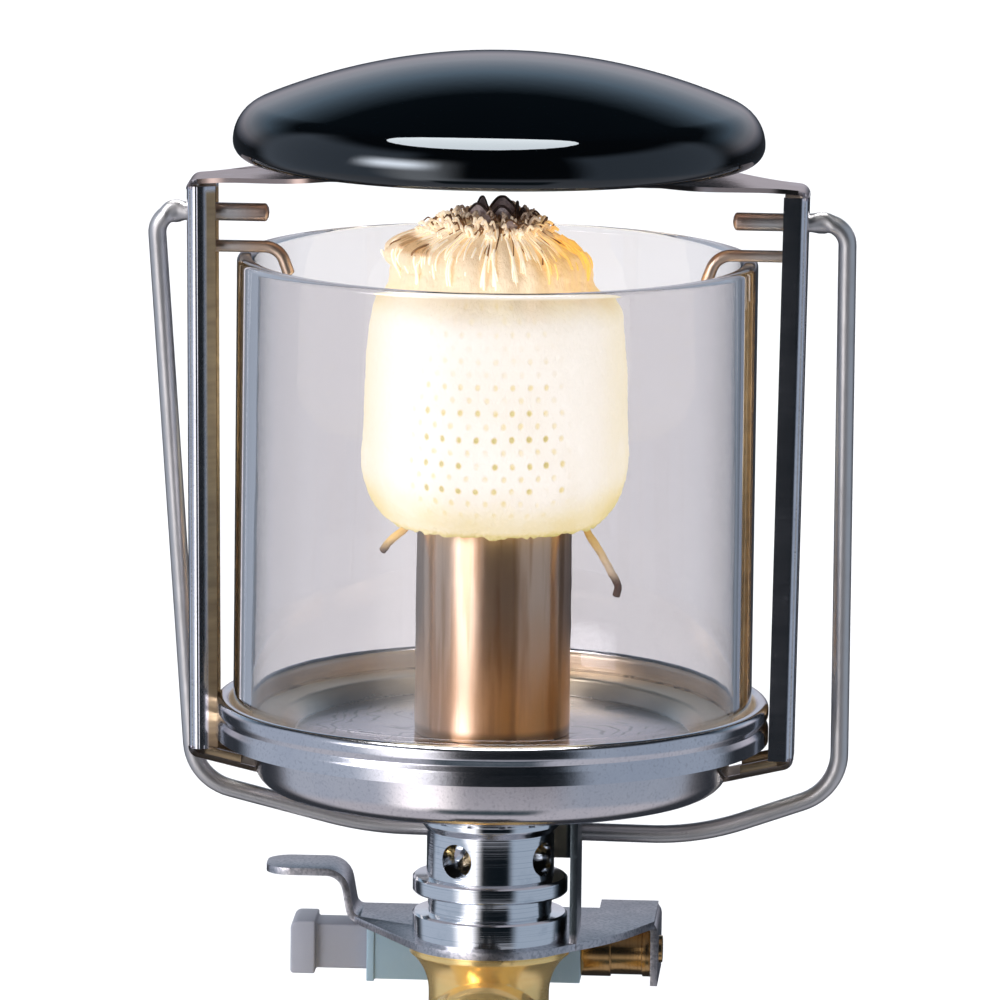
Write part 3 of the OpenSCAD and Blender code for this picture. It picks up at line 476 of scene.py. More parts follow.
def satin_sheet():
    """The igniter bracket: scuffed, nickel plated steel. Its upright is dark with painted shade, and its
    lip beige with a painted reflection.
    """
    f = Finish("bracket_satin_nickel")
    brushed = f.noise(0.3, 3, (9, 1, 1))
    cloud = f.noise(4, 4)
    scuffs = f.fade(f.noise(0.8, 4, (3, 1, 1)), 0.64, 0.72)
    x, _, z = f.split()
    plate = f.mix(f.fade(cloud, 0.3, 0.7), (0.7, 0.67, 0.69), (0.55, 0.54, 0.57))
    plate = f.mix(f.fade(f.noise(0.4, 3), 0.45, 0.62) * 0.6, plate, (0.3, 0.31, 0.34))
    # Painted shade darkens the upright, and a painted beige reflection covers its lip, which is made less
    # metallic so that it shows
    upright = f.fade(z, case_top + 1.2 * MM, case_top + 2.2 * MM) * f.fade(x, 0, 4 * MM)
    lip = upright * f.fade(x, 8.7 * MM, 8.3 * MM)
    f.set(base_color=f.mix(lip, f.mix(upright, plate, (0.12, 0.145, 0.16)), (0.7, 0.63, 0.48)),
          metallic=1 - lip * 0.7,
          roughness=0.27 + brushed * 0.14 + scuffs * 0.1,
          normal=f.bump(brushed + cloud + f.noise(0.25, 3) * 0.6, 0.03))
    return f


def heat_tinted_steel():
    """The burner tube: steel polished round its axis and turned bronze by the flame."""
    f = Finish("burner_tube_bronze_tint", metallic=1.0, anisotropic=0.97, anisotropic_rotation=0.25)
    x, _, z = f.split()
    drawn = f.noise(0.5, 3, (1, 1, 60))
    cloud = f.noise(5, 4, (1, 1, 2.5))
    # Deeper orange towards the bottom and the right
    low = f.fade(z + cloud * 14 * MM, 82 * MM, 68 * MM)
    right = f.fade(x + cloud * 8 * MM, 0, 7 * MM)
    streak = f.fade(f.noise(1.5, 3, (1, 1, 16)), 0.46, 0.66)
    tint = f.mix(low * right, (1.0, 0.75, 0.56), (0.98, 0.52, 0.21))
    tint = f.mix(streak * 0.6, tint, (0.62, 0.35, 0.19))
    # Painted shade: the foot of the tube is dark where it stands on the tray
    foot = f.fade(z, 59 * MM, 60 * MM)
    f.set(base_color=f.mix(foot, (0.4, 0.24, 0.13), tint),
          roughness=0.25 + drawn * 0.06 + cloud * 0.06,
          normal=f.bump(drawn + cloud * 2, 0.012))
    return f


# Finishes of enamel, glass, plastic and other parts
def black_enamel():
    """The shade: fired enamel, nearly black, with a trace of orange peel and dust."""
    f = Finish("shade_black_enamel", specular=0.8, specular_tint=(0.84, 0.93, 1.0, 1))
    peel = f.noise(1.4, 2)
    dust = f.fade(f.noise(0.28, 2), 0.7, 0.78)
    bloom = f.noise(14, 3)
    f.set(base_color=f.mix(bloom, (0.0002, 0.0004, 0.0007), (0.0003, 0.0008, 0.0014)),
          roughness=0.018 + bloom * 0.02 + dust * 0.06,
          normal=f.bump(peel + dust * 0.4, 0.004))
    return f


def clear_glass():
    """The globe: clear glass with a faint grey tint. Light from lamps, and what metal inside mirrors, goes
    straight through it."""
    f = Finish("globe_glass", base_color=(0.772, 0.745, 0.754, 1), transmission_weight=1.0)
    streaks = f.noise(3, 3, (1, 1, 7))
    film = f.fade(f.noise(6, 4), 0.55, 0.8)
    f.set(roughness=film * 0.02, normal=f.bump(streaks, 0.01))
    straight = f.node("BsdfTransparent")
    glass = Socket(f, f.shader.outputs[0])
    for ray in ("Is Reflection Ray", "Is Shadow Ray"):
        passing = f.node("LightPath", out=ray)
        glass = f.node("MixShader", None, [passing, glass, straight])
    f.feed(f.tree.nodes["Material Output"], [("Surface", glass)])
    return f


def moulded_plastic(name, colour, pale, roughness):
    """Moulded plastic with a fine spark-eroded grain and rubbed patches."""
    f = Finish(name)
    spark = f.noise(0.18, 2)
    rubbed = f.fade(f.noise(3, 5, rough=0.7), 0.5, 0.8)
    f.set(base_color=f.mix(rubbed * 0.5 + spark * 0.15, colour, pale),
          roughness=roughness + spark * 0.14 - rubbed * 0.08,
          normal=f.bump(spark, 0.03, 0.6))
    return f


def plain_rough(name, dark, light, size, roughness, metallic=0.0):
    """Rubber, ceramic, scaled steel and sintered metal: an even, granular surface."""
    f = Finish(name, metallic=metallic)
    grains = f.noise(size, 4, rough=0.6)
    f.set(base_color=f.mix(f.fade(grains, 0.3, 0.7), dark, light),
          roughness=roughness + grains * 0.12, normal=f.bump(grains, 0.03))
    return f


# Finishes of the mantle. Its knit is counted in stitches round it and rows up it
knit_columns = 48
knit_row = 1.47 * MM
belt_z = mantle_low.z + 0.24 * mantle_h
crown_amber = (6 * MM, 12 * MM)


def knit_holes(f):
    """1 in the holes of the knit, in staggered rows, every other row fainter, at the front and the back."""
    x, y, z = f.split()
    column = y.math("ARCTAN2", x) * (knit_columns / (2 * pi))
    row = z / knit_row + f.noise(6, 2) * 0.4
    number = row.math("FLOOR")
    across = (column + number * 0.5 + f.noise(4, 2) * 0.3).math("FRACT") - 0.5
    along = row.math("FRACT") - 0.5
    reach = (across * across / 0.04 + along * along / 0.11).math("SQRT")
    faint = 1 - (number * 0.5).math("FRACT") * 0.9
    uneven = f.fade(f.noise(2.6, 2), 0.22, 0.52)
    below_top = f.fade(z, belt_z + 14 * MM, belt_z + 2 * MM, 0.25, 1.0)
    above_hem = f.fade(z, belt_z - 7 * MM, belt_z - 3 * MM)
    open_side = f.fade(abs(y), 0.76 * mantle_r, 0.9 * mantle_r)
    return f.fade(reach, 1.1, 0.35) * faint * uneven * below_top * above_hem * open_side


def brown_fold(f):
    """1 on the fold at the left shoulder, which is coloured brown and glows less."""
    x, y, z = f.split()
    across = (x + 9.4 * MM) / (2.7 * MM)
    along = (z + x * 0.1 - (mantle_high.z - 5.3 * MM) + f.noise(1.5, 2) * 0.8 * MM) / (0.9 * MM)
    return f.fade(across * across + along * along, 1.3, 0.2) * f.fade(y, MM, -MM)


def glowing_ash():
    """The mantle: white-hot knit, yellow at its hem, cream and amber where it is gathered and cooler."""
    f = Finish("mantle_glowing_ash", specular=0.0, roughness=0.9, emission_strength=1.0)
    x, y, z = f.split()
    up = (z - mantle_low.z) / mantle_h
    fibre = f.noise(0.35, 4, (1, 1, 2.2), rough=0.65)
    streak = f.fade(f.noise(0.9, 3, (1, 1, 7)), 0.46, 0.68)
    cloud = f.noise(6, 3)
    holes = knit_holes(f)
    hem = f.fade(up + cloud * 0.06, 0.22, 0.06)
    neck = f.fade(up + cloud * 0.05, 0.62, 0.76)
    fringe = f.fade(up + fibre * 0.03, 0.04, 0.014)
    # Painted shade: the glow dims towards the left and right flanks
    painted_flank_shade = f.fade(abs(x) + cloud * 5 * MM, 12 * MM, 18 * MM)
    heat = 0.68 + cloud * 0.34 + fibre * 0.16
    heat = heat - hem * 0.36 - neck * 0.34 - fringe * 0.25 - painted_flank_shade * 0.26 - holes * 0.76
    heat_colours = [(0.05, (0.52, 0.38, 0.05)), (0.25, (0.66, 0.55, 0.1)), (0.45, (0.93, 0.76, 0.32)),
                    (0.65, (1.0, 0.9, 0.64)), (0.82, (1.03, 0.97, 0.85)), (1.0, (1.1, 1.07, 1.0))]
    hot = f.node("ValToRGB", {"stops": heat_colours}, [heat])
    amber = f.fade(x + cloud * 7 * MM, *crown_amber)
    cool = f.mix(amber, (0.47, 0.31, 0.16), (0.64, 0.34, 0.07))
    cool = f.mix(streak * 0.4, cool, (0.38, 0.24, 0.12))
    crown = f.fade(up + cloud * 0.1, 0.68, 0.83)
    reach = (x * x + y * y + streak * (3 * MM) ** 2).math("SQRT")
    scorch = f.fade(reach, 5.4 * MM, 2.6 * MM) * f.fade(up, 0.8, 0.9)
    brown = brown_fold(f) * 0.6
    ash = f.mix(brown, f.mix(crown, (0.34, 0.32, 0.28), (0.62, 0.55, 0.44)), (0.6, 0.36, 0.15))
    glow = f.mix(brown, f.mix(crown, hot, cool), (0.26, 0.14, 0.05))
    f.set(base_color=f.mix(scorch, ash, (0.15, 0.085, 0.045)),
          emission_color=f.mix(scorch, glow, (0, 0, 0)),
          normal=f.bump(fibre + (1 - holes), 0.25))
    return f


def scorched_yarn():
    """Loose yarn of the mantle's crown: cream, amber in places, and toasted brown at its upper ends."""
    f = Finish("mantle_scorched_yarn", specular=0.15, roughness=0.85, emission_strength=1.0)
    x, y, _ = f.split()
    patch = f.noise(2.2, 3)
    fibre = f.noise(0.2, 3, (1, 1, 3))
    reach = (x * x + y * y).math("SQRT") + patch * 4 * MM
    toast = f.fade(reach, 9.5 * MM, 4.5 * MM)
    amber = f.fade(x + patch * 7 * MM, *crown_amber)
    brown = brown_fold(f)
    plain = f.mix(brown, f.mix(amber, (0.88, 0.79, 0.65), (0.92, 0.6, 0.2)), (0.62, 0.38, 0.17))
    glow = f.mix(amber, (0.5, 0.4, 0.28), (0.62, 0.34, 0.07))
    f.set(base_color=f.mix(toast * 0.8, plain, (0.52, 0.38, 0.29)),
          emission_color=f.mix(f.fade(toast + brown * 0.5, 0.0, 0.7), glow, (0, 0, 0)),
          normal=f.bump(fibre, 0.08))
    return f


def burnt_yarn():
    """Yarn burnt brown, and black at the very top of the mantle."""
    f = Finish("mantle_burnt_yarn", specular=0.2, roughness=0.8)
    z = f.split()[2]
    patch = f.noise(1.1, 3)
    char = f.noise(0.25, 4, rough=0.7)
    upper = f.fade(z + patch * 2.5 * MM, mantle_high.z - 1.9 * MM, mantle_high.z + 0.6 * MM)
    colour = f.mix(upper, (0.38, 0.21, 0.1), (0.04, 0.026, 0.024))
    f.set(base_color=f.mix(f.fade(char, 0.55, 0.75) * 0.5, colour, (0.34, 0.27, 0.24)),
          normal=f.bump(char, 0.12))
    return f


def ash_skin():
    """Thin grey ash that closes the burnt folds."""
    f = Finish("mantle_grey_ash", specular=0.1, roughness=0.9)
    patch = f.noise(0.9, 4, rough=0.65)
    f.set(base_color=f.mix(f.fade(patch, 0.35, 0.65), (0.3, 0.25, 0.275), (0.66, 0.58, 0.59)),
          normal=f.bump(patch, 0.15))
    return f


def tie_cotton():
    """Twisted cotton string, golden with the mantle's painted glow near the top, and burnt brown at its
    ends.
    """
    f = Finish("tie_string_cotton", specular=0.15, roughness=0.85)
    x, y, z = f.split()
    twist = (y.math("ARCTAN2", x) * 14 + z / (0.22 * MM)).math("SINE") * 0.5 + 0.5
    fibre = f.noise(0.12, 3, (1, 1, 3))
    end = z + f.fade(x, -MM, MM, 0.0, 2.9 * MM) + fibre * 1.2 * MM
    burnt = f.fade(end, tie_z - 2.3 * MM, tie_z - 4.0 * MM)
    # Painted glow of the mantle on the string near it
    string_glow = f.fade(z, tie_z - 6 * MM, tie_z - 2 * MM)
    pale = f.mix(string_glow, f.mix(fibre, (0.86, 0.72, 0.54), (0.6, 0.44, 0.29)), (0.95, 0.64, 0.22))
    f.set(base_color=f.mix(burnt, pale, (0.1, 0.05, 0.03)),
          normal=f.bump(twist + fibre * 0.6, 0.12))
    return f


# The tray: the mantle's glow is painted on its seat and inner wall, and its floor has swirl scratches
nickel = plated_sheet("tray_bright_nickel", (0.77, 0.755, 0.785), (0.67, 0.67, 0.72), 0.1,
                      flame_glow_share=inside_tray, marks=floor_swirls, mark=(0.4, 0.41, 0.45))
pan_nickel = plated_sheet("pan_bright_nickel", (0.81, 0.755, 0.755), (0.71, 0.68, 0.71), 0.12)
# The frame: the mantle's glow is painted on the inner faces of its posts
frame_nickel = plated_sheet("frame_bright_nickel", (0.8, 0.79, 0.83), (0.68, 0.68, 0.73), 0.12,
                            # The strap under the shade is coloured darker and browner
                            flame_glow_share=inside_posts, marks=darker_strap, mark=(0.46, 0.35, 0.31),
                            glow_colours=post_glow_colours)
chrome = turned_metal("mixing_tube_chrome", (0.84, 0.86, 0.89), (0.46, 0.53, 0.59), 0.06, depth=0.02)
brass = turned_metal("valve_polished_brass", (1.0, 0.72, 0.3), (0.95, 0.58, 0.19), 0.16, metallic=0.78)
amber_brass = turned_metal("igniter_amber_brass", (0.56, 0.34, 0.14), (0.4, 0.23, 0.085), 0.16, axis=0)
stainless = turned_metal("spindle_stainless", (0.62, 0.61, 0.6), (0.5, 0.49, 0.48), 0.22, axis=1)
wire_steel = satin_wire("bail_spring_wire", (0.66, 0.64, 0.63), (0.56, 0.54, 0.53), (0.52, 0.34, 0.25))
hook_steel = satin_wire("hook_spring_wire", (0.76, 0.68, 0.62), (0.64, 0.54, 0.46), (0.82, 0.58, 0.41))
bracket_steel = satin_sheet()
burner_steel = heat_tinted_steel()
enamel = black_enamel()
glass = clear_glass()
case_blue = moulded_plastic("igniter_case_blue_grey", (0.265, 0.38, 0.46), (0.34, 0.44, 0.52), 0.36)
button_grey = moulded_plastic("igniter_button_grey", (0.305, 0.315, 0.365), (0.38, 0.38, 0.42), 0.42)
knob_black = moulded_plastic("knob_black_plastic", (0.012, 0.012, 0.013), (0.03, 0.03, 0.032), 0.45)
rubber = plain_rough("seal_rubber", (0.01, 0.01, 0.01), (0.022, 0.022, 0.022), 0.3, 0.6)
ceramic = plain_rough("insulator_ceramic", (0.78, 0.76, 0.7), (0.88, 0.86, 0.8), 0.8, 0.35)
sintered = plain_rough("filter_sintered_bronze", (0.3, 0.18, 0.08), (0.55, 0.36, 0.18), 0.25, 0.5, 1.0)
hot_steel = plain_rough("burner_head_scaled_steel", (0.2, 0.15, 0.12), (0.38, 0.31, 0.26), 0.6, 0.45, 1.0)

# The tie comes first: its route repeats the route of the solid. Tails are in mm from the neck's sides
string_d = 0.9 * MM
string_wind = burner_r + string_d / 2 + 0.06 * MM
string_pitch = string_d + 0.45 * MM
string_start = 190
string_wrap = 545
turns_below = 0.75
string_steps = 32
left_tail = [(-3.2, -3.6, -4.4), (-2.6, -3.6, -3.6), (-1.8, -3.6, -2.8), (-0.9, -3.4, -2.1),
             (-0.3, -2.6, -1.4)]
right_tail = [(0.75, -1.2, 0.5), (0.95, -2.4, -0.6), (1.4, -3.2, -1.8), (2.3, -3.6, -3.1), (3.4, -3.8, -4.8),
              (4.4, -3.9, -6.6), (5.0, -4.0, -7.8), (4.8, -4.1, -8.8)]


def string_route():
    left, right = ([(side * string_wind + x * MM, y * MM, tie_z + z * MM) for x, y, z in tail]
                   for side, tail in ((-1, left_tail), (1, right_tail)))
    wound = []
    for i in range(string_steps + 1):
        turned = string_wrap * i / string_steps
        a = radians(string_start - turned)
        wound.append((string_wind * cos(a), string_wind * sin(a),
                      tie_z + string_pitch * (turned / 360 - turns_below)))
    return left + wound + right


def tie_string():
    route = through(string_route(), 4)
    piece = make_piece("tie_string", *tube_mesh(route, string_d / 2, 12), tie_cotton(), sharp=60)
    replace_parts(piece, "mantle_string")


tie_string()


# Shade, tray, pan and globe, turned in fine steps
dome_r = 70 * MM
shade_rim_r = 4.8 * MM
shade_lip_r = 2 * MM
shade_lip_turn = 60
shade_sheet = 0.8 * MM
globe_play = 0.3 * MM
globe_lip = 0.7 * MM
tray_floor_r = globe_r - 7 * MM
groove = 0.35 * MM
groove_half = 0.8 * MM
boss_r = 10.3 * MM


def shade_edge(inset):
    """Half section of the shade at a depth in its sheet, from the top of the dome to the end of the lip."""
    rim_x = shade_r - shade_rim_r
    rim_up = sqrt((dome_r - shade_rim_r) ** 2 - rim_x ** 2)
    dome_z = shade_high.z - dome_r
    lean = math.degrees(math.atan2(rim_up, rim_x))
    return np.vstack([
        arc((0, dome_z), dome_r - inset, 90, lean - 90, 40),
        arc((rim_x, dome_z + rim_up), shade_rim_r - inset, lean, -lean, 24)[1:],
        arc((shade_r - shade_lip_r, dome_z + rim_up), shade_lip_r - inset, 0, -shade_lip_turn, 12)[1:]])


def enamelled_shade():
    loop = np.vstack([shade_edge(0), shade_edge(shade_sheet)[::-1]])
    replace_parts(lathe("enamelled_shade", loop, enamel, sharp=50, steps=192), "shade")


def plated_tray():
    t = base_sheet / 2
    wall_r = globe_r + globe_play + t
    skirt_r = tray_r - t
    dip_z = (rim_z + skirt_z) / 2
    floor_z = skirt_z + t
    fold = (skirt_r - wall_r) / 2 - 0.01 * MM
    path = rounded([(spigot_r, floor_z), (tray_floor_r, floor_z), (tray_floor_r + 1.6 * MM, seat_z - t),
                    (wall_r, seat_z - t), (wall_r, rim_z - t), (skirt_r, rim_z - t),
                    (skirt_r, dip_z + groove_half), (skirt_r - groove, dip_z),
                    (skirt_r, dip_z - groove_half), (skirt_r, skirt_z)],
                   [0.7 * MM, 0.7 * MM, 0.35 * MM, fold, fold, 0.7 * MM, 0.5 * MM, 0.7 * MM])
    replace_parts(lathe("plated_tray", sheet_loop(path, base_sheet), nickel), "globe_tray")


def plated_pan():
    t = base_sheet / 2
    wall_r = pan_r - t
    boss_x = boss_r - t
    floor_z = boss_z + boss_h + t
    path = rounded([(spigot_r, boss_z + t), (boss_x, boss_z + t), (boss_x + 1.2 * MM, floor_z),
                    (wall_r - 0.7 * MM, floor_z), (wall_r, skirt_z), (wall_r, pan_high.z)],
                   [0.8 * MM, 0.8 * MM, 2.6 * MM, 2 * MM])
    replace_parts(lathe("plated_pan", sheet_loop(path, base_sheet), pan_nickel), "base_pan")


def glass_globe():
    inner = globe_r - globe_wall
    lip_z = globe_high.z - globe_lip
    loop = np.vstack([
        [(inner, seat_z), (globe_r, seat_z)],
        arc((globe_r - globe_lip, lip_z), globe_lip, 0, 90, 8),
        arc((inner + globe_lip, lip_z), globe_lip, 90, 90, 8)])
    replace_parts(lathe("glass_globe", loop, glass, sharp=60, steps=192), "globe")


# Wires: the bail and the two hooks
bail_r = 1.05 * MM
bail_back = 8.9 * MM
bail_gap = 3.7 * MM
bail_taper = 1.8 * MM
bail_skew = 2.4 * MM
bow_drop = 7.4 * MM
pin_reach = 8.9 * MM
crimp_half = 0.9 * MM
pivot_z = frame["joints"][0]["pos_m"][2]
hook_r = 0.7 * MM


def bail_wire():
    """The bail, hanging back against the bracket's upright, with a flattened crimp outside each post."""
    leg_x = post_x + bail_gap
    crimp_x = post_x + 0.5 * MM
    loop_z = boss_z + boss_h - bow_drop
    lean = math.asin((bail_back + bail_r) / (pivot_z - loop_z))
    drop = (pivot_z - loop_z) / cos(lean)
    pin_x = post_x - pin_reach
    corners = [(-pin_x, 0), (-leg_x, 0), (bail_skew + bail_taper - leg_x, 5.7 * MM - drop),
               (-0.38 * leg_x, 0.5 * MM - drop), (0.6 * leg_x, -drop),
               (leg_x + bail_skew - bail_taper, 6 * MM - drop), (leg_x + 0.7 * MM, 0), (pin_x, 0)]
    flat = rounded(corners, [2.6 * MM, 6 * MM, 40 * MM, 30 * MM, 6.5 * MM, 2.6 * MM], 12)
    route, squeeze = [], []
    for (x0, z0), (x1, z1) in zip(flat, flat[1:]):
        steps = max(1, int(math.hypot(x1 - x0, z1 - z0) / (0.6 * MM)))
        for i in range(steps):
            x = x0 + (x1 - x0) * i / steps
            z = z0 + (z1 - z0) * i / steps
            route.append((x, -z * sin(lean), pivot_z + z * cos(lean)))
            off = (abs(x) - crimp_x - crimp_half) / crimp_half
            crimp = math.exp(-off ** 4) if abs(z) < 0.4 * MM else 0.0
            squeeze.append((1 + 0.38 * crimp, 1 - 0.28 * crimp))
    piece = make_piece("bail_wire", *tube_mesh(route, bail_r, 24, squeeze), wire_steel, "bail", sharp=60)
    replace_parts(piece, "bail")


def globe_hook(side, node):
    """A hook: a leg inside the post, a reach over the glass and a bend down inside it."""
    z = globe_high.z + hook_r + 0.02 * MM
    x = max(abs(corner.x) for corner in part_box(node)) - hook_r
    tip = globe_r - globe_wall - 3.4 * MM
    flat = rounded([(x, z - 6 * MM), (x, z), (tip + 0.6 * MM, z), (tip - 0.5 * MM, z - 3.0 * MM)],
                   [1.6 * MM, 2.4 * MM], 12)
    route = [(side * p[0], 0, p[1]) for p in flat]
    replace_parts(make_piece(node + "_wire", *tube_mesh(route, hook_r, 18), hook_steel, sharp=60), node)


enamelled_shade()
plated_tray()
plated_pan()
glass_globe()
bail_wire()
globe_hook(-1, "left_globe_hook")
globe_hook(1, "right_globe_hook")


# The mantle, a knitted sock burnt to ash. Its outline runs from the gather down to the hem and up inside, as
# shares of its height and of its radius. Its crown is gathered from neck_share up
mantle_shape = [(0.945, 0.02), (0.94, 0.14), (0.925, 0.32), (0.872, 0.63), (0.805, 0.77), (0.75, 0.8),
                (0.7, 0.86), (0.645, 0.935), (0.55, 0.965), (0.44, 0.985), (0.29, 0.995), (0.165, 1),
                (0.08, 0.945), (0.025, 0.855), (0, 0.75), (0.035, 0.7), (0.076, 0.59)]
crown_points = 10
neck_share = 0.62
pleats = 17


def lopsided(a, share):
    """The gathered crown stands in on the right and sags out to a shoulder on the left."""
    side = cos(a)
    up = min(1.0, max(0.0, share - neck_share) / 0.12)
    if side > 0:
        return 1 - side * (0.12 * up + 0.12 * max(0.0, 1 - ((share - 0.9) / 0.06) ** 2))
    return 1 - side * 0.19 * max(0.0, 1 - ((share - 0.87) / 0.07) ** 2)


def mantle_sock():
    outline = through(mantle_shape, 12)
    around = knit_columns * 6
    turn = np.linspace(0, 2 * pi, around, endpoint=False)
    points = []
    for share, width in outline:
        z = mantle_low.z + share * mantle_h
        up = max(0.0, share - neck_share) / (1 - neck_share)
        for a in turn:
            r = width * mantle_r * lopsided(a, share)
            at = Vector((r * cos(a), r * sin(a), z))
            soft = noise.noise(at / (7 * MM)) * 0.5 + noise.noise(at / (2.4 * MM)) * 0.16
            yarn = noise.noise(at / (0.6 * MM)) * 0.1
            sway = noise.noise(Vector((cos(a) * 2, sin(a) * 2, 3.7)))
            fold = up * 0.075 * cos(pleats * a + 2.4 * sway) * min(1.0, width * 2.2)
            column = a * knit_columns / (2 * pi) + 0.5 * math.floor(z / knit_row)
            stitch = cos(2 * pi * column) * cos(2 * pi * z / knit_row) * 0.05 * (1 - up)
            bulge = (soft * (0.35 + up * 0.5) + yarn + stitch) * MM * min(1.0, width * 2)
            droop = max(0.0, 1 - share / 0.04) * noise.noise(at / (0.8 * MM)) * 0.45 * MM
            out = r * (1 + fold) + bulge
            points.append((cos(a) * out, sin(a) * out,
                           z + noise.noise(at / (3 * MM)) * up * 0.5 * MM + droop))
    faces = ring_faces(len(outline), around)
    faces.append(tuple(range(around))[::-1])
    piece = make_piece("mantle_sock", points, faces, glowing_ash(), sharp=180)
    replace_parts(piece, "mantle")
    return piece


# Loose and burnt yarn of the crown: how many ends, and the share of the height where they stop
crown_strands = 280
crown_curls = 150
crown_top = 0.934
burnt_strands = 76
burnt_curls = 44
burnt_top = 0.932
curl_top = 0.936
yarn_root = -0.2 * MM

# Each ring of burnt folds: how many, distance from the axis, share of the height, rise, half width, lean
fold_rings = [(5, 2.4 * MM, 0.92, 3.0 * MM, 1.8 * MM, 0.1),
              (5, 4.6 * MM, 0.908, 1.8 * MM, 1.2 * MM, 0.35)]
fold_start = radians(-70)


def on_crown(a, share, out=0.0):
    """A point of the crown at that angle and share of the height, moved outwards."""
    shares, widths = zip(*mantle_shape[:crown_points][::-1])
    r = float(np.interp(share, shares, widths)) * mantle_r * lopsided(a, share) + out
    return Vector((r * cos(a), r * sin(a), mantle_low.z + share * mantle_h))


def bundle(name, strands, finish):
    """One piece of many strands, each a route through a few points and a radius."""
    points, faces, count = [], [], 0
    for route, r in strands:
        p, f = tube_mesh(through(route, 5), r, 6)
        points.append(p)
        faces += [tuple(count + i for i in face) for face in f]
        count += len(p)
    piece = make_piece(name, np.vstack(points), faces, finish, sharp=180)
    return piece


def level_directions(a):
    """Away from the axis, and round it, at that angle."""
    return Vector((cos(a), sin(a), 0)), Vector((-sin(a), cos(a), 0))


def spaced(pick, i, count, play):
    """The angle of one of count things round the axis, moved by up to play."""
    return 2 * pi * i / count + pick(-play, play)


def strand(a, foot, top, drift, stand, curl):
    """A strand of yarn up the crown from one share of its height to another."""
    return [on_crown(a, foot, yarn_root),
            on_crown(a + drift * 0.3, foot * 0.6 + top * 0.4, stand),
            on_crown(a + drift * 0.7, foot * 0.25 + top * 0.75, stand + curl * 0.4),
            on_crown(a + drift, top, curl)]


def loose_curl(pick, a, low, high):
    """A loose end of yarn that stands out from the crown and curls over."""
    outward, along = level_directions(a)
    share = pick(low, high)
    foot = on_crown(a, share, yarn_root)
    reach = outward * pick(0.2, 0.9) * MM
    rise = Vector((0, 0, pick(0.9, 1.9) * (0.6 + 9 * (share - low)) * MM))
    lean = along * pick(-1.0, 1.0) * MM
    return [foot, foot + reach * 0.5 + rise * 0.6 + lean * 0.2, foot + reach + rise + lean * 0.6,
            foot + reach * 1.5 + rise * 0.75 + lean * 1.1]


def crown_yarn():
    """Loose ends of yarn that lie up the crown and curl at the gather."""
    pick = random.Random(11).uniform
    strands = []
    for i in range(crown_strands):
        a = spaced(pick, i, crown_strands, 0.02)
        foot = pick(0.76, 0.9)
        top = min(foot + pick(0.06, 0.12), crown_top)
        drift = pick(-0.07, 0.07)
        curl = pick(0.1, 1.1) * MM
        route = strand(a, foot, top, drift, pick(0.1, 0.4) * MM, curl)
        strands.append((route, pick(0.09, 0.19) * MM))
    for i in range(crown_curls):
        route = loose_curl(pick, spaced(pick, i, crown_curls, 0.03), 0.892, curl_top)
        strands.append((route, pick(0.1, 0.21) * MM))
    return bundle("mantle_crown_yarn", strands, scorched_yarn())


def fold_edge(pick, a, ring, share, height, width, lean):
    """The edge of a burnt fold, from one foot over its tip to the other."""
    outward, along = level_directions(a)
    foot = outward * ring * pick(0.85, 1.15)
    foot.z = mantle_low.z + mantle_h * (share + pick(-0.01, 0.01))
    rise = height * pick(0.85, 1.1)
    half = width * pick(0.8, 1.15)
    tip = pick(-0.6, 0.6) * MM
    tilt = outward * (lean + pick(-0.2, 0.2))
    shape = [(-half, 0), (-half * 0.95, 0.5), (-half * 0.35 + tip, 0.92), (tip, 1.0),
             (half * 0.4 + tip, 0.9), (half, 0.45), (half * 1.1, 0)]
    return [foot + along * u + (Vector((0, 0, 1)) + tilt) * rise * v for u, v in shape]


def fold_skins(edges):
    """The thin ash inside the edges of the folds."""
    points, faces = [], []
    for edge in edges:
        rim = through(edge, 5)
        middle = rim.mean(axis=0)
        base = len(points)
        points += [middle * (1 - share) + p * share for share in (0.35, 0.7, 1.0) for p in rim]
        faces += [tuple(base + k for k in face) for face in ring_faces(3, len(rim))]
        faces.append(tuple(base + k for k in range(len(rim))))
    skin = make_piece("mantle_ash_skin", points, faces, ash_skin(), sharp=180)
    return skin


def burnt_folds():
    """Folds of the gathered end, closed by ash and burnt along their edges, with burnt yarn round them."""
    pick = random.Random(4).uniform
    edges, strands = [], []
    for count, *sizes in fold_rings:
        for i in range(count):
            edges.append(fold_edge(pick, fold_start + spaced(pick, i, count, 0.2), *sizes))
            strands.append((edges[-1], pick(0.11, 0.17) * MM))
    for i in range(burnt_strands):
        a = spaced(pick, i, burnt_strands, 0.06)
        foot = pick(0.83, 0.91)
        top = min(foot + pick(0.04, 0.08), burnt_top)
        route = strand(a, foot, top, pick(-0.1, 0.1), 0.35 * MM, pick(0.1, 0.6) * MM)
        strands.append((route, pick(0.06, 0.12) * MM))
    for i in range(burnt_curls):
        route = loose_curl(pick, spaced(pick, i, burnt_curls, 0.05), 0.9, curl_top)
        strands.append((route, pick(0.09, 0.17) * MM))
    return bundle("mantle_burnt_folds", strands, burnt_yarn()), fold_skins(edges)


# The mantle: its sock, the loose yarn of its crown and its burnt folds. The sock laid
# flat: half its girth, and an estimate of its length
mantle_sock()
crown_yarn()
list(burnt_folds())


# The frame. Its left post has rolled flanges and its right post plain ones
channel_bend = 0.95 * MM
flange = 2.9 * MM
rolled_flange = 3.2 * MM
roll_start = 1.7 * MM
roll_in = 0.85 * MM
roll_bend = 2.4 * MM


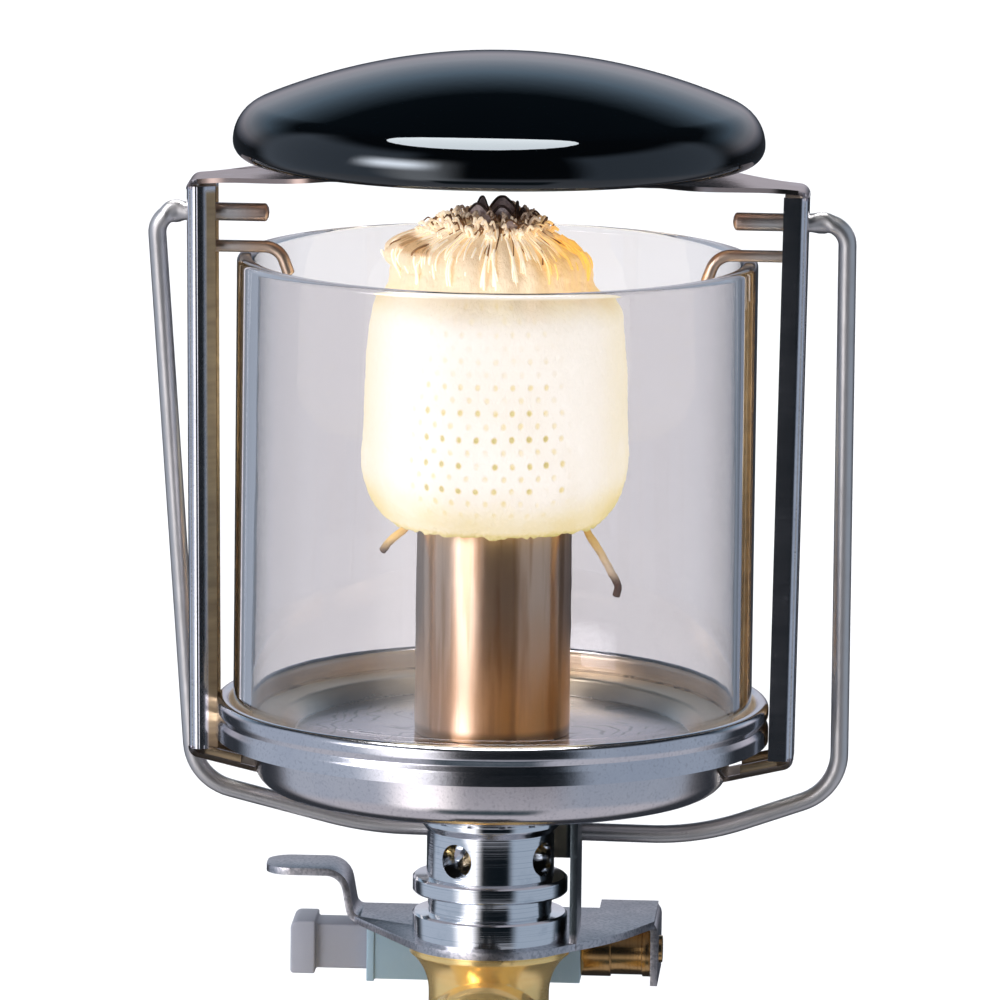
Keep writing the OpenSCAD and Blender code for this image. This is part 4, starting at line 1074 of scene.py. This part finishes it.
def channel_section(rolled):
    """Section of a post, from one flange round the web to the other: distance in from the outer face, and
    side. A rolled channel has the edges of its flanges eased inwards."""
    t = frame_sheet / 2
    side = post_w / 2 - t
    edge = [(flange, side)]
    bends = [channel_bend, channel_bend]
    if rolled:
        edge = [(rolled_flange, side - roll_in), (roll_start, side)]
        bends = [roll_bend, *bends, roll_bend]
    path = edge + [(t, side), (t, -side)] + [(u, -y) for u, y in edge[::-1]]
    return sheet_loop(rounded(path, bends, 10), frame_sheet)


def add_post(clean, side, rolled):
    """Adds a channel post to the frame's mesh, between the two bends of the strip."""
    section = channel_section(rolled)
    n = len(section)
    low, high = ([clean.verts.new((side * (post_out(z) - u), y, z)) for u, y in section]
                 for z in (foot_z + 0.5 * MM, strap_z - 0.25 * MM))
    for k in range(n):
        clean.faces.new((low[k], low[(k + 1) % n], high[(k + 1) % n], high[k]))
    for ring in (low, high):
        for k in range(n // 2 - 1):
            clean.faces.new((ring[k], ring[k + 1], ring[n - 2 - k], ring[n - 1 - k]))


def plated_frame():
    """Strap, bends and feet as in the solid, and posts with the round bends of a folded channel."""
    clean = cad_copy("hood_frame")
    flat = [face for face in clean.faces
            if foot_z + 1.4 * MM < face.calc_center_median().z < strap_z - 0.8 * MM]
    bmesh.ops.delete(clean, geom=flat, context="FACES")
    add_post(clean, -1, rolled=True)
    add_post(clean, 1, rolled=False)
    bmesh.ops.recalc_face_normals(clean, faces=clean.faces)
    mesh = bpy.data.meshes.new("plated_frame")
    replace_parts(finish_piece(mesh, clean, frame_nickel, "lantern", corner_angle), "hood_frame")


plated_frame()

# Pieces that keep their CAD shape, with their edges broken
dressed("igniter_bracket", bracket_steel, 0.14)
dressed("igniter_case", case_blue, 0.28)
dressed("igniter_button", button_grey, 0.34, body="igniter_button")
dressed("igniter_end_cap", amber_brass, 0.14)
dressed("mixing_tube", chrome, 0.1)
dressed("toothed_washer", chrome, 0.06)
dressed("burner_tube", burner_steel, 0.12)
dressed("valve_body", brass, 0.22)
dressed("gland_nut", brass, 0.2)
dressed("cartridge_collar", brass, 0.25)
dressed("control_knob", knob_black, 0.3, body="valve_control")
dressed("knob_screw", stainless, 0.12, body="valve_control")

# Pieces that keep their CAD mesh
kept_finishes = {
    "gas_jet": brass, "pusher_pin": brass, "gas_filter": sintered, "valve_spindle": stainless,
    "spark_electrode": stainless, "shade_spacer": frame_nickel, "shade_rivet": frame_nickel,
    "cartridge_seal": rubber, "spindle_seal": rubber, "electrode_insulator": ceramic,
    "burner_gauze": hot_steel, "burner_head": hot_steel,
}
for node, finish in kept_finishes.items():
    materials = frame["nodes"][node].data.materials
    materials.clear()
    materials.append(finish.material)

# Studio: a pale floor, a wide ceiling light, and a room that the bright metal mirrors. Each screen in it has
# a colour, its ends in degrees round from the front to the right and up from the level, and a soft edge
floor_half = 7
floor_white = (0.86, 0.86, 0.86)
room_dark = (0.003, 0.006, 0.009)
room_floor = (0.5, 0.51, 0.57)
room_screens = [
    ((0.41, 0.47, 0.57), (-122, -40), (-34, 46), 9),
    ((1.75, 1.72, 1.78), (-46, -20), (-42, 28), 11),
    ((0.03, 0.055, 0.07), (-32, 32), (-60, -38), 5),
    ((0.34, 0.4, 0.49), (40, 116), (-34, 40), 8),
    ((13.0, 12.8, 13.4), (-58, -30), (9, 24), 10)]
back_colours = [
    (0.1, (0.03, 0.035, 0.045)), (0.18, (0.2, 0.21, 0.26)), (0.3, (0.58, 0.56, 0.63)),
    (0.45, (0.62, 0.65, 0.74)), (0.72, (0.3, 0.42, 0.55)), (0.95, (0.006, 0.012, 0.018))]
flame_colour = (1.0, 0.58, 0.17)
flame_radiance = 3.2


def add_light(name, kind, centre):
    lamp = add_object(name, bpy.data.lights.new(name, kind))
    lamp.location = centre
    lamp.visible_camera = False
    lamp.visible_transmission = False
    return lamp


def panel(name, centre, target, width, height, radiance, mirrors_only, shape="RECTANGLE"):
    """A soft light of the given radiance that faces its target, for mirrors only or for all but mirrors."""
    lamp = add_light(name, "AREA", centre)
    lamp.data.shape = shape
    lamp.data.size = width
    lamp.data.size_y = height
    lamp.data.energy = radiance * pi * width * height
    lamp.rotation_mode = "QUATERNION"
    lamp.rotation_quaternion = (Vector(target) - Vector(centre)).to_track_quat("-Z", "Y")
    lamp.visible_glossy = mirrors_only
    lamp.visible_diffuse = not mirrors_only


def flame_light():
    """The mantle's own light, as the metal and the glass mirror it."""
    r = mantle_r + 0.6 * MM
    lamp = add_light("flame_light", "POINT", (0, 0, mantle_low.z + mantle_r + 1.5 * MM))
    lamp.data.shadow_soft_size = r
    lamp.data.color = flame_colour
    lamp.data.energy = flame_radiance * 4 * (pi * r) ** 2
    lamp.visible_diffuse = False


def pale_floor():
    """White paper, which glows far from the lantern so that no horizon shows."""
    f = Finish("floor_paper", roughness=0.9, specular=0.0, emission_strength=1.0)
    x, y, _ = f.split()
    far = f.fade((x * x + y * y).math("SQRT"), 1.5, 5)
    f.set(base_color=f.mix(f.noise(400, 2), floor_white, tuple(c * 0.985 for c in floor_white)),
          emission_color=f.mix(far, (0, 0, 0), floor_white))
    corners = [(u * floor_half, v * floor_half, 0) for u, v in ((-1, -1), (1, -1), (1, 1), (-1, 1))]
    mesh = bpy.data.meshes.new("floor")
    mesh.from_pydata(corners, [], [(0, 1, 2, 3)])
    mesh.materials.append(f.material)
    floor = add_object("floor", mesh)
    floor.visible_glossy = False


def mirrored_room():
    """What metal and enamel mirror: a dark room with a pale floor and back, and soft screens."""
    world = bpy.data.worlds.new("studio_room")
    world.use_nodes = True
    bpy.context.scene.world = world
    g = Graph(world.node_tree, "Generated")
    x, y, z = g.split()
    degrees = 180 / pi
    around = x.math("ARCTAN2", 0 - y) * degrees
    height = z.math("ARCSINE") * degrees

    def within(value, ends, soft):
        middle, half = sum(ends) / 2, (ends[1] - ends[0]) / 2
        return g.fade(abs(value - middle), half + soft, half - soft)

    seen = g.mix(g.fade(height, -12, -34), room_dark, room_floor)
    for colour, sides, heights, soft in room_screens:
        seen = g.mix(within(around, sides, soft) * within(height, heights, soft), seen, colour)
    back = g.node("ValToRGB", {"stops": back_colours}, [g.fade(height, -15, 45)])
    seen = g.mix(g.fade(abs(around), 112, 140), seen, back)
    g.feed(g.tree.nodes["Background"], [("Color", seen)])


def lens_bloom():
    """The soft halo of the mantle's light in the lens."""
    scene = bpy.context.scene
    scene.use_nodes = True
    nodes, links = scene.node_tree.nodes, scene.node_tree.links
    bloom = nodes.new("CompositorNodeGlare")
    bloom.glare_type = "BLOOM"
    for key, value in {"Threshold": 1.08, "Strength": 0.1, "Size": 0.45}.items():
        bloom.inputs[key].default_value = value
    links.new(nodes["Render Layers"].outputs["Image"], bloom.inputs["Image"])
    links.new(bloom.outputs["Image"], nodes["Composite"].inputs["Image"])


def studio():
    pale_floor()
    mirrored_room()
    flame_light()
    panel("ceiling", (0, 0, 2.2), (0, 0, 0), 7, 7, 1.4, mirrors_only=False)
    over = shade_high.z + 1.0
    panel("top_screen", (-0.09, -0.05, over), (-0.09, -0.05, 0), 0.88, 0.76, 8.0, mirrors_only=True,
          shape="ELLIPSE")
    bpy.context.scene.view_settings.view_transform = "Standard"
    lens_bloom()


studio()
